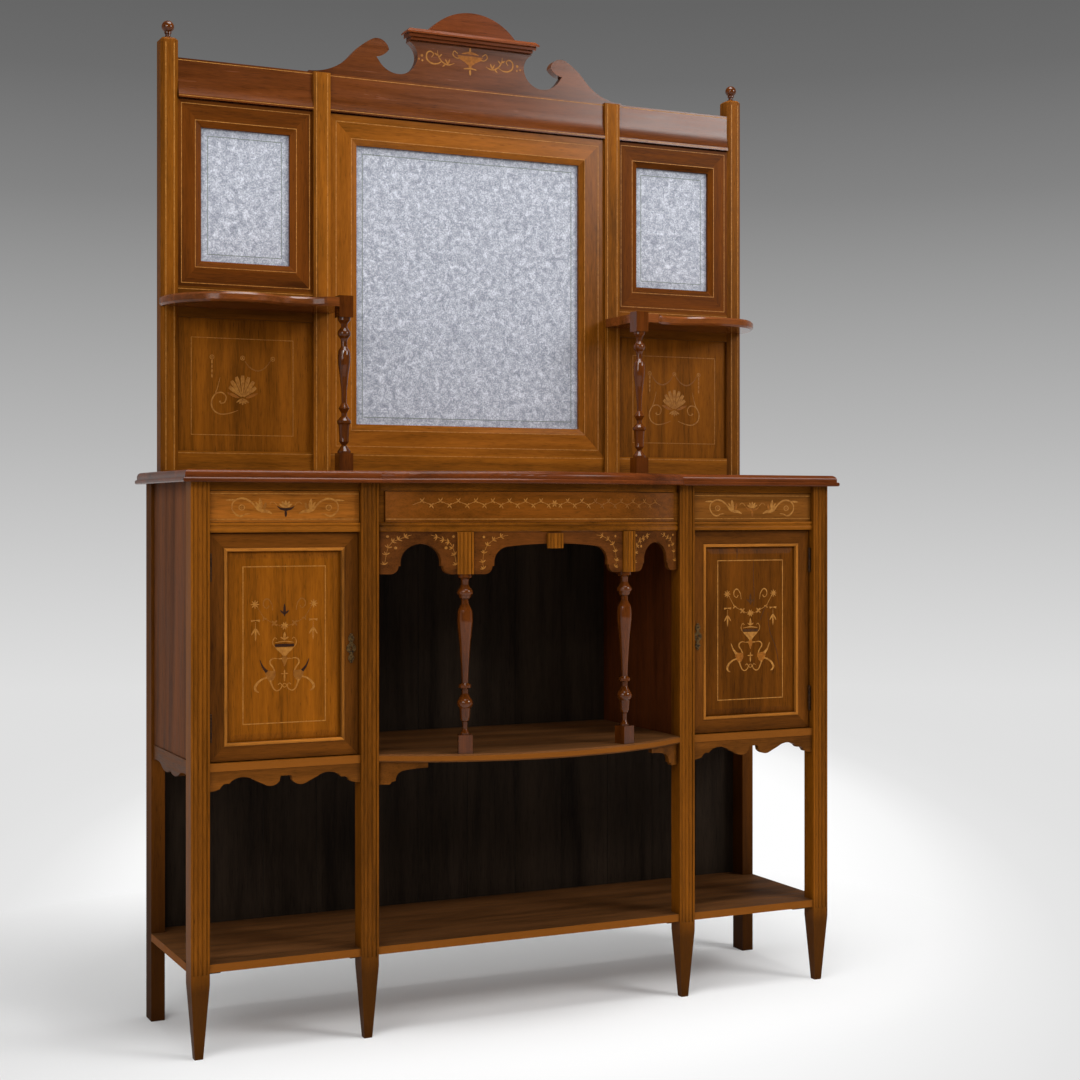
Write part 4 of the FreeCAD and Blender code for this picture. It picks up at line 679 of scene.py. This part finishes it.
class Inlay:
    """All the inlays of one surface, as thin closed pieces drawn in millimetres.

    A twin drawing is made on both sides of its middle. The palette gives a tone
    another veneer. The stretch is sideways, upwards, and the level it starts from.
    """

    def __init__(self, surface, centre=(0, 0), twin=True, palette=None, stretch=(1, 1, 0)):
        self.surface = surface
        self.centre = centre
        self.twin = twin
        self.palette = palette or {}
        self.stretch = stretch
        self.count = 0
        self.grid = bmesh.new()

    def placed(self, points, side):
        """Points stretched sideways, and up and down from a level, and moved to their spot."""
        wider, taller, level = self.stretch
        return [(self.centre[0] + side * wider * u, self.centre[1] + level + taller * (v - level))
                for u, v in points]

    def sides(self):
        """1 for the right and -1 for the left."""
        return (1, -1) if self.twin else (1,)

    def solid(self, rows, tone):
        """Close rows of points, front and back, into one piece, a hair above the last one."""
        self.count += 1
        front = PROUD + HAIR * (self.count % HAIRS)
        layers = [[[self.grid.verts.new(self.surface(u, v, level)) for u, v in row]
                   for row in rows] for level in (front, -SUNK)]
        (left, right), (back_left, back_right) = layers
        faces = []
        for i in range(len(left) - 1):
            faces.append((right[i], right[i + 1], left[i + 1], left[i]))
            faces.append((back_left[i], back_left[i + 1], back_right[i + 1], back_right[i]))
            faces.append((right[i], back_right[i], back_right[i + 1], right[i + 1]))
            faces.append((left[i + 1], back_left[i + 1], back_left[i], left[i]))
        faces.append((left[0], back_left[0], back_right[0], right[0]))
        faces.append((right[-1], back_right[-1], back_left[-1], left[-1]))
        index = TONES.index(self.palette.get(tone, tone))
        for corners in faces:
            self.grid.faces.new(corners).material_index = index

    def strip(self, left, right, tone):
        """A piece between two rows of points, and its twin on the other side."""
        for side in self.sides():
            rows = [self.placed(row, side) for row in (left, right)]
            self.solid(rows if side > 0 else rows[::-1], tone)

    def ribbon(self, points, widths, tone="boxwood"):
        """A curved line; its widths are spread evenly over its length."""
        curve = spline(points)
        left, right = [], []
        for i, (u, v) in enumerate(curve):
            before, after = curve[max(i - 1, 0)], curve[min(i + 1, len(curve) - 1)]
            du, dv = after[0] - before[0], after[1] - before[1]
            length = math.hypot(du, dv)
            place = i / (len(curve) - 1) * (len(widths) - 1)
            index = min(int(place), len(widths) - 2)
            width = widths[index] + (widths[index + 1] - widths[index]) * (place - index)
            step_u, step_v = -dv / length * width / 2, du / length * width / 2
            left.append((u + step_u, v + step_v))
            right.append((u - step_u, v - step_v))
        self.strip(left, right, tone)

    def leaf(self, spot, angle, length, width, tone="boxwood"):
        """A pointed leaf from a spot, at an angle in degrees from the right."""
        turn = math.radians(angle)
        end = (spot[0] + length * math.cos(turn), spot[1] + length * math.sin(turn))
        middle = ((spot[0] + end[0]) / 2, (spot[1] + end[1]) / 2)
        self.ribbon([spot, middle, end], [0.3, width * 0.85, width, width * 0.75, 0.3], tone)

    def spray(self, spot, angles, length, width, tone="boxwood"):
        """Leaves spread from one spot."""
        for angle in angles:
            self.leaf(spot, angle, length, width, tone)

    def disc(self, spot, radius, tone="boxwood"):
        """A round piece."""
        turns = [math.pi * (step + 0.5) / DISC_STEPS for step in range(DISC_STEPS)]
        left, right = ([(spot[0] + side * radius * math.sin(t), spot[1] - radius * math.cos(t))
                        for t in turns] for side in (-1, 1))
        self.strip(left, right, tone)

    def ring(self, spot, radius, width, tone="boxwood"):
        """A round line, closed but for a hair."""
        turns = [math.pi * step / RING_HALF for step in range(RING_STEPS + 1)]
        points = [(spot[0] + radius * math.cos(t), spot[1] + radius * math.sin(t)) for t in turns]
        inner = [(spot[0] + (u - spot[0]) * (1 - width / radius),
                  spot[1] + (v - spot[1]) * (1 - width / radius)) for u, v in points]
        self.strip(inner, points, tone)

    def lines(self, x, z, width, tone="boxwood"):
        """A rectangle of stringing, mitred at its corners; x and z are its limits."""
        corners = [(x[0], z[0]), (x[1], z[0]), (x[1], z[1]), (x[0], z[1])]
        inner = [(x[0] + width, z[0] + width), (x[1] - width, z[0] + width),
                 (x[1] - width, z[1] - width), (x[0] + width, z[1] - width)]
        for index in range(4):
            after = (index + 1) % 4
            self.strip([inner[index], inner[after]], [corners[index], corners[after]], tone)

    def done(self, name, body, materials):
        """Make the object with its veneers, and let it ride on its body."""
        mesh = mesh_of(name, self.grid)
        for material in materials:
            mesh.materials.append(material)
        thing = link(name, mesh)
        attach(thing, body)


# ---- Stringing: light lines let into the frames, fronts and panels ----


# The widths of the lines.
LINE = 1.5
FINE_LINE = 1.3
DOOR_LINE = 1.8
BOW_LINE = 1.4
NICHE_LINE = 1.4
BEVEL_LINE = 1.6


def upright_lines(ink, places, z):
    """Upright lines at several places across."""
    for x in places:
        ink.strip(*([(x + side * LINE / 2, level) for level in z] for side in (-1, 1)),
                  "boxwood")


def level_lines(ink, levels, x, width, tone="boxwood", steps=1):
    """Level lines at several heights, in steps that follow a bowed surface."""
    across = [x[0] + (x[1] - x[0]) * step / steps for step in range(steps + 1)]
    for z in levels:
        ink.strip([(u, z + width / 2) for u in across], [(u, z - width / 2) for u in across], tone)


def limits(node, axis, inset=0.0):
    """Where a node begins and ends on its right-hand side, in millimetres, less an inset."""
    ends = sorted((getattr(low(node), axis) / MM, getattr(high(node), axis) / MM))
    return ends[0] + inset, ends[1] - inset


HEAD_LIP = 0.006
CENTRE_MEMBER = 58
SIDE_MEMBERS = (46, 50)
BEVEL = 14
POST_INSETS = (9, 25)
POST_Z = (1046, 1862)
STILE_PLACES = (313, 336)
STILE_Z = (1042, 1834)
# Each line of the head rails has its name, its height and the depth of its face.
HEAD_LINES = (("head_line", 1832, HEAD_LIP), ("lip_line", 1763.5, 0))
# Each rail has the drop of its line below its top, and whether it crosses the middle.
RAIL_LINES = (("base_rails", 4, True), ("cross_rails", 5, False))
OUTER_INSET = 6
INNER_INSET = 13


def bay_lines(ink, z, centre=True):
    """A level line across the side bays, and if wanted across the middle one."""
    level_lines(ink, (z,), SIDE_BAY, FINE_LINE)
    if centre:
        ink.twin = False
        level_lines(ink, (z,), (-CENTRE_BAY, CENTRE_BAY), FINE_LINE)


def string_back(materials):
    """The lines of the mirror back."""
    ink = Inlay(flat("posts"))
    post_out = high("posts").x / MM
    upright_lines(ink, [post_out - inset for inset in POST_INSETS], POST_Z)
    ink.done("post_lines", "carcass", materials)
    ink = Inlay(flat("stiles"))
    upright_lines(ink, STILE_PLACES, STILE_Z)
    ink.done("stile_lines", "carcass", materials)
    for name, level, depth in HEAD_LINES:
        ink = Inlay(flat("head_rails", depth))
        bay_lines(ink, level)
        ink.done(name, "carcass", materials)
    ink = Inlay(flat("mirror_frame_centre"), twin=False)
    bottom, top = limits("mirror_frame_centre", "z")
    for inset in (INNER_INSET, CENTRE_MEMBER - INNER_INSET):
        ink.lines((inset - CENTRE_BAY, CENTRE_BAY - inset), (bottom + inset, top - inset),
                  FINE_LINE)
    ink.done("centre_frame_lines", "carcass", materials)
    ink = Inlay(flat("mirror_frames_side"))
    bottom, top = limits("mirror_frames_side", "z")
    start, end = SIDE_BAY
    side, level = (member - INNER_INSET for member in SIDE_MEMBERS)
    for inset, drop in ((OUTER_INSET, OUTER_INSET), (side, level)):
        ink.lines((start + inset, end - inset), (bottom + drop, top - drop), FINE_LINE)
    ink.done("side_frame_lines", "carcass", materials)
    for node, drop, centre in RAIL_LINES:
        ink = Inlay(flat(node))
        bay_lines(ink, high(node).z / MM - drop, centre)
        ink.done(node + "_line", "carcass", materials)


def bevel_lines(materials):
    """The inner edges of the mirrors' bevels."""
    ink = Inlay(flat("mirror_centre"), twin=False)
    inset = CENTRE_MEMBER + BEVEL
    bottom, top = limits("mirror_frame_centre", "z", inset)
    ink.lines((inset - CENTRE_BAY, CENTRE_BAY - inset), (bottom, top), BEVEL_LINE, "bevel")
    ink.done("centre_bevel", "carcass", materials)
    ink = Inlay(flat("mirrors_side"))
    side, level = (member + BEVEL for member in SIDE_MEMBERS)
    bottom, top = limits("mirror_frames_side", "z", level)
    ink.lines((SIDE_BAY[0] + side, SIDE_BAY[1] - side), (bottom, top), BEVEL_LINE, "bevel")
    ink.done("side_bevels", "carcass", materials)


# ---- Marquetry; heights are above the floor and places across from the middle ----


def door_wings(ink):
    """The outer half of the doors' figure: star, bow, garland, husks, swan and scroll."""
    ink.spray((55, 799.5), range(0, 360, 45), 8, 2.2)
    ink.ribbon([(22, 788), (24, 800), (31, 809), (38, 806), (39, 797), (33, 792), (29, 797)],
               [0.6, 1.8, 2.4, 2, 1.4, 1.8], "thread")
    ink.ribbon([(51, 795), (44, 784), (38, 775), (28, 769), (19, 765), (10, 761), (5, 760)],
               [0.9, 1.1, 0.9], "thread")
    ink.spray((38, 774), (60, 180, 300), 5, 2.6, "thread")
    ink.spray((19, 765), (45, 135, 225, 315), 7, 3.4, "thread")
    ink.ribbon([(46, 770), (54, 771), (62, 770)], [4.5, 1, 4.5])
    ink.ribbon([(54, 768), (54, 762), (54, 757)], [0.8, 0.8])
    ink.spray((54, 757), (238, 302), 15, 3.2)
    ink.leaf((54, 756), 270, 22, 3.4)
    ink.ribbon([(17, 722), (21, 726), (22, 733), (18, 739), (14, 736)], [1, 1.4, 1.4, 0.9])
    ink.ribbon([(13, 701), (20, 702), (26, 699), (27, 693), (22, 686), (19, 679), (20, 672)],
               [1, 2.2, 2.8, 2.4, 2.8, 4])
    ink.strip([(17, 679), (16.5, 671), (20, 664), (25, 660)],
              [(36, 681), (36, 673), (33, 667), (29, 661)], "amber")
    ink.ribbon([(33, 678), (39, 685), (43, 692), (46, 700)], [6, 4, 2.4, 0.8], "wing")
    ink.ribbon([(33, 668), (42, 665), (50, 659), (55, 651), (53, 645), (48, 642)],
               [3, 3, 4, 4.6, 3.4, 1.2])
    ink.ribbon([(27, 663), (24, 655), (20, 647), (14, 643.5), (7.5, 647), (5, 653), (8.5, 657),
                (12, 654.5)], [3.6, 2.6, 2.2, 1.8, 1.5, 1.3, 1.6])


def door_axis(ink, bar):
    """The middle of the doors' figure: lily, flower, and an urn on its stem."""
    ink.twin = False
    ink.leaf((0, 777), 90, 23, 5, bar)
    ink.spray((0, 781), (40, 140), 11, 3.4, bar)
    ink.disc((0, 760), 4.6)
    ink.spray((0, 760), range(22, 360, 45), 7.5, 2.6)
    ink.leaf((0, 734), 90, 15, 5)
    ink.spray((0, 735), (35, 145), 9, 2.8)
    ink.ribbon([(-17, 730), (0, 732), (17, 730)], [0.8, 2.4, 0.8])
    ink.ribbon([(-18, 725), (0, 725), (18, 725)], [4.6, 5.4, 4.6], bar)
    ink.strip([(-18, 721.5), (-13, 716), (-7, 711), (-3, 706)],
              [(18, 721.5), (13, 716), (7, 711), (3, 706)], "boxwood")
    ink.strip([(-3, 706), (-5.5, 700), (-3, 694), (-0.6, 687)],
              [(3, 706), (5.5, 700), (3, 694), (0.6, 687)], "amber")
    for side in (1, -1):
        ink.ribbon([(side * 5, 701), (side * 9, 701), (side * 12, 701)], [2.4, 1.2])
    ink.spray((0, 674), (0, 90, 180), 7, 2.4)
    ink.leaf((0, 675), 270, 15, 3)
    ink.ring((0, 653), 4, 1.1)
    ink.twin = True


PANEL_X = 492.05
STRING_HALF = 78
STRING_Z = (585, 868)
# The veneers of the worn left side.
FADED = {"boxwood": "honey", "amber": "faint"}
CRACKS = [
    [(-32, 893), (-31.5, 881), (-32, 870)],
    [(8, 868), (7, 835), (9, 800), (8, 772)],
    [(37, 775), (31, 762), (26, 752), (23, 744)],
    [(42, 760), (43, 740), (48, 717), (56, 700), (62, 684), (67, 660), (70, 646)],
]


def doors(materials):
    """The figure and the stringing of both doors, and the cracks of the right one."""
    for side, name, palette, bar, string in (
            (-1, "left", {**FADED, "thread": "faint", "wing": "dark"}, "dark", "honey"),
            (1, "right", {"thread": "boxwood", "wing": "boxwood"}, "dusk", "boxwood")):
        ink = Inlay(flat("door_panel_" + name), (side * PANEL_X, 0), palette=palette)
        door_wings(ink)
        door_axis(ink, bar)
        ink.twin = False
        ink.palette = {}
        ink.lines((-STRING_HALF, STRING_HALF), STRING_Z, DOOR_LINE, string)
        if name == "right":
            for crack in CRACKS:
                ink.ribbon(crack, [0.6, 1.6, 1.6, 0.6], "dusk")
        ink.done("door_marquetry_" + name, "door_" + name, materials)


def drawer_scrolls(ink):
    """Birds with raised wings between scrolling tails and rosettes."""
    ink.ribbon([(15, 977), (19, 982), (24, 983), (27, 979)], [0.8, 1.2, 1.2, 0.6])
    ink.ribbon([(23, 962), (31, 966), (39, 967), (46, 970), (52, 976)], [1.6, 5, 6.5, 6, 2.5])
    ink.leaf((41, 970), 82, 20, 6)
    ink.leaf((37, 969), 105, 14, 5, "amber")
    ink.leaf((44, 972), 58, 13, 4)
    ink.ribbon([(51, 975), (60, 984), (70, 989), (81, 988), (89, 981), (90, 970), (84, 961),
                (76, 957.5), (68, 961), (60, 962)], [2.4, 3.2, 3.4, 2.6, 2, 2.6, 3.2, 2, 0.8])
    ink.leaf((84, 987), -4, 17, 3.4)
    ink.ring((74, 973), 5.6, 1.8)
    ink.disc((74, 973), 2.2, "amber")


def drawer_middle(ink, bowl):
    """A shell over a crescent."""
    ink.twin = False
    ink.strip([(-15, 976), (-9, 973), (0, 972), (9, 973), (15, 976)],
              [(-14, 974), (-9, 969), (0, 966.5), (9, 969), (14, 974)], bowl)
    ink.spray((0, 973), (30, 60, 90, 120, 150), 13, 4.4)
    ink.leaf((0, 968), 270, 12, 4.5, bowl)
    ink.twin = True


DRAWER_LINES = (952, 998)
DRAWER_STRETCH = (1.1, 1, 0)
# The vine of the middle drawer: its joints lie by turns below and above its height.
VINE_Z = 981
VINE_SWAYS = (-3, 4)
VINE_START = 12
VINE_STEP = 15.5
VINE_JOINTS = 17
VINE_LEAVES = ((60, 7.5), (125, 6), (-40, 5), (-150, 5))
VINE_FADES = 90
BOW_STEPS = 40


def drawer_vine(ink):
    """A vine that runs both ways from a small flower, and fades to the right."""
    for side in (1, -1):
        vine = [(side * (VINE_START + VINE_STEP * step), VINE_Z + VINE_SWAYS[step % 2])
                for step in range(VINE_JOINTS)]
        for step, (start, end) in enumerate(zip(vine, vine[1:])):
            tone = "honey" if end[0] < VINE_FADES else "faint"
            ink.ribbon([start, end], [0.9, 0.9], tone)
            up = 1 if step % 2 else -1
            for turn, length in VINE_LEAVES:
                ink.leaf(start, turn * up, length, 2, tone)
    ink.spray((0, VINE_Z), range(0, 360, 60), 7, 3, "honey")


def drawers(materials):
    """The figures and the stringing of the three drawer fronts."""
    for side, name, palette, bowl in ((-1, "left", FADED, "dark"), (1, "right", {}, "amber")):
        node = "drawer_front_" + name
        ink = Inlay(flat(node), (side * PANEL_X, 0), palette=palette, stretch=DRAWER_STRETCH)
        drawer_scrolls(ink)
        ink.palette = {}
        drawer_middle(ink, bowl)
        ink.twin = False
        half = (high(node).x - low(node).x) / 2 / MM - 1
        ink.stretch = (1, 1, 0)
        level_lines(ink, DRAWER_LINES, (-half, half), LINE, "honey")
        ink.done("drawer_marquetry_" + name, "drawer_" + name, materials)
    ink = Inlay(bowed, twin=False)
    drawer_vine(ink)
    half = high("drawer_front_centre").x / MM - 1
    level_lines(ink, DRAWER_LINES[:1], (-half, half), BOW_LINE, "boxwood", BOW_STEPS)
    ink.done("drawer_marquetry_centre", "drawer_centre", materials)


# Where the veneer is darker than boxwood.
HONEY = {"boxwood": "honey"}
# The arches of the fret: the middle of a narrow one, and the stems beside both kinds.
NARROW_ARCH = 246
NARROW_VINE = [(16, 923), (27, 919), (38, 914), (47, 910), (54, 899), (57, 886), (60, 868)]
WIDE_VINE = [(92, 922), (106, 919), (120, 913), (131, 903), (137, 889), (139, 872), (137, 860)]


def leafy(ink, vine, width):
    """A stem with small leaves on both sides of each joint."""
    ink.ribbon(vine, [width, width * 0.8])
    for start, end in zip(vine, vine[1:]):
        turn = math.degrees(math.atan2(end[1] - start[1], end[0] - start[0]))
        for spread in (140, -140, 100):
            ink.leaf(end, turn + spread, 7, 2)


def fret(materials):
    """Leafy stems beside the arches of the fret."""
    ink = Inlay(bowed, palette=HONEY)
    for side in (1, -1):
        leafy(ink, [(NARROW_ARCH + side * u, v) for u, v in NARROW_VINE], 0.9)
        ink.disc((NARROW_ARCH + side * 55, 920), 2.3)
        ink.disc((NARROW_ARCH + side * 42, 899), 2.6)
    leafy(ink, WIDE_VINE, 0.9)
    ink.disc((137, 919), 2.3)
    ink.done("fret_marquetry", "carcass", materials)


NICHE_X = 483.0
NICHE_LINES = ((380, 585.5), (1114, 1303))


def patera(ink, spot):
    """A small ring with a dot in it."""
    ink.ring(spot, 4.6, 1.5)
    ink.disc(spot, 1.7)


def niche_scroll(ink, side):
    """A side scroll with its tendril, and the drop of husks above it."""
    ink.ribbon([(side * u, v) for u, v in (
        (9, 1163), (26, 1157), (44, 1155), (58, 1163), (62, 1178), (55, 1193), (42, 1197),
        (33, 1189), (36, 1178), (45, 1176))], [1, 2.2, 2.8, 2.8, 2.4, 2, 1.6])
    ink.ribbon([(side * 55, 1193), (side * 50, 1206), (side * 45, 1226)], [2, 1.6, 0.6])
    ink.disc((side * 45, 1179), 2)
    for drop in range(4):
        ink.leaf((side * 61, 1260 - 9 * drop), 270, 8, 3)


def niche_swag(ink, side):
    """A faint swag between the middle patera and a side one."""
    ink.ribbon([(side * 57, 1262), (side * 45, 1247), (side * 30, 1241), (side * 15, 1247),
                (side * 4, 1260)], [0.9, 2.2, 2.8, 2.2, 0.9], "faint")


def niche_shell(ink):
    """A scallop shell on a small crown, under a patera."""
    for step in range(7):
        spread = 90 + 17 * (step - 3)
        length = 44 - 1.1 * (step - 3) ** 2
        turn = math.radians(spread)
        ink.ribbon([(reach * math.cos(turn), 1187 + reach * math.sin(turn))
                    for reach in (3, length * 0.5, length)], [0.6, 2.4, 5.2, 8.2, 6])
    for side in (1, -1):
        ink.leaf((side * 6, 1187), 90 - 68 * side, 27, 6, "amber")
        ink.leaf((0, 1186), 90 - 122 * side, 15, 4)
    ink.spray((0, 1183), (225, 270, 315), 10, 4)
    patera(ink, (0, 1265))


def niches(materials):
    """The shells and scrolls of the niche panels; the left one has lost half of its own."""
    for side, name in ((-1, "left"), (1, "right")):
        ink = Inlay(flat("niche_panels"), (side * NICHE_X, 0), twin=False, palette=HONEY)
        niche_shell(ink)
        for half in (1, -1):
            patera(ink, (half * 61, 1265))
        niche_scroll(ink, -1)
        if name == "right":
            niche_scroll(ink, 1)
            niche_swag(ink, -1)
        niche_swag(ink, 1)
        ink.centre = (0, 0)
        across, z = NICHE_LINES
        ink.lines(across if side > 0 else (-across[1], -across[0]), z,
                  NICHE_LINE)
        ink.done("niche_marquetry_" + name, "carcass", materials)


TABLET_CENTRE = (-3, 0)
TABLET_STRETCH = (1.1, 1.2, 1892)


def tablet(materials):
    """The urn, scrolls and sprigs of the pediment."""
    ink = Inlay(flat("pediment"), TABLET_CENTRE, palette=HONEY, stretch=TABLET_STRETCH)
    ink.ribbon([(32, 1886), (44, 1882), (56, 1886), (64, 1895), (66, 1905)],
               [1.2, 2.2, 2.4, 1.8, 0.6])
    ink.ribbon([(57, 1887), (67, 1882), (78, 1882), (87, 1888), (87, 1898), (80, 1902), (74, 1898),
                (78, 1892)], [1, 2.2, 2.8, 2.6, 2.2, 1.8, 1.2])
    ink.spray((45, 1883), (58, 112), 10, 3)
    ink.leaf((64, 1896), 25, 9, 3)
    ink.leaf((63, 1894), 140, 8, 2.6)
    ink.leaf((50, 1883), -40, 8, 2.6)
    ink.disc((97, 1893), 2.3)
    ink.disc((103, 1887), 1.8)
    ink.disc((96, 1885), 1.8)
    ink.ribbon([(25, 1903), (32, 1907), (35, 1901), (29, 1896), (21, 1896)], [1.2, 1.8, 1.4])
    ink.twin = False
    ink.leaf((0, 1907), 90, 9, 3.6)
    ink.ribbon([(-17, 1904), (0, 1906.5), (17, 1904)], [1.2, 5, 1.2], "amber")
    ink.strip([(-26, 1901), (-22, 1895), (-11, 1890), (-3, 1885), (-2.5, 1880)],
              [(26, 1901), (22, 1895), (11, 1890), (3, 1885), (2.5, 1880)], "amber")
    ink.ribbon([(-13, 1878.5), (0, 1880), (13, 1878.5)], [1.2, 3, 1.2])
    ink.leaf((0, 1878), 270, 10, 4)
    ink.done("pediment_marquetry", "carcass", materials)


def lay_inlays():
    """Every inlay, all with the same set of veneers."""
    materials = inlay_materials()
    for lay in (string_back, bevel_lines, doors, drawers, fret, niches, tablet):
        lay(materials)


make_camera()
make_stage()
make_light()
dress_wood()
dress_hardware()
lay_inlays()
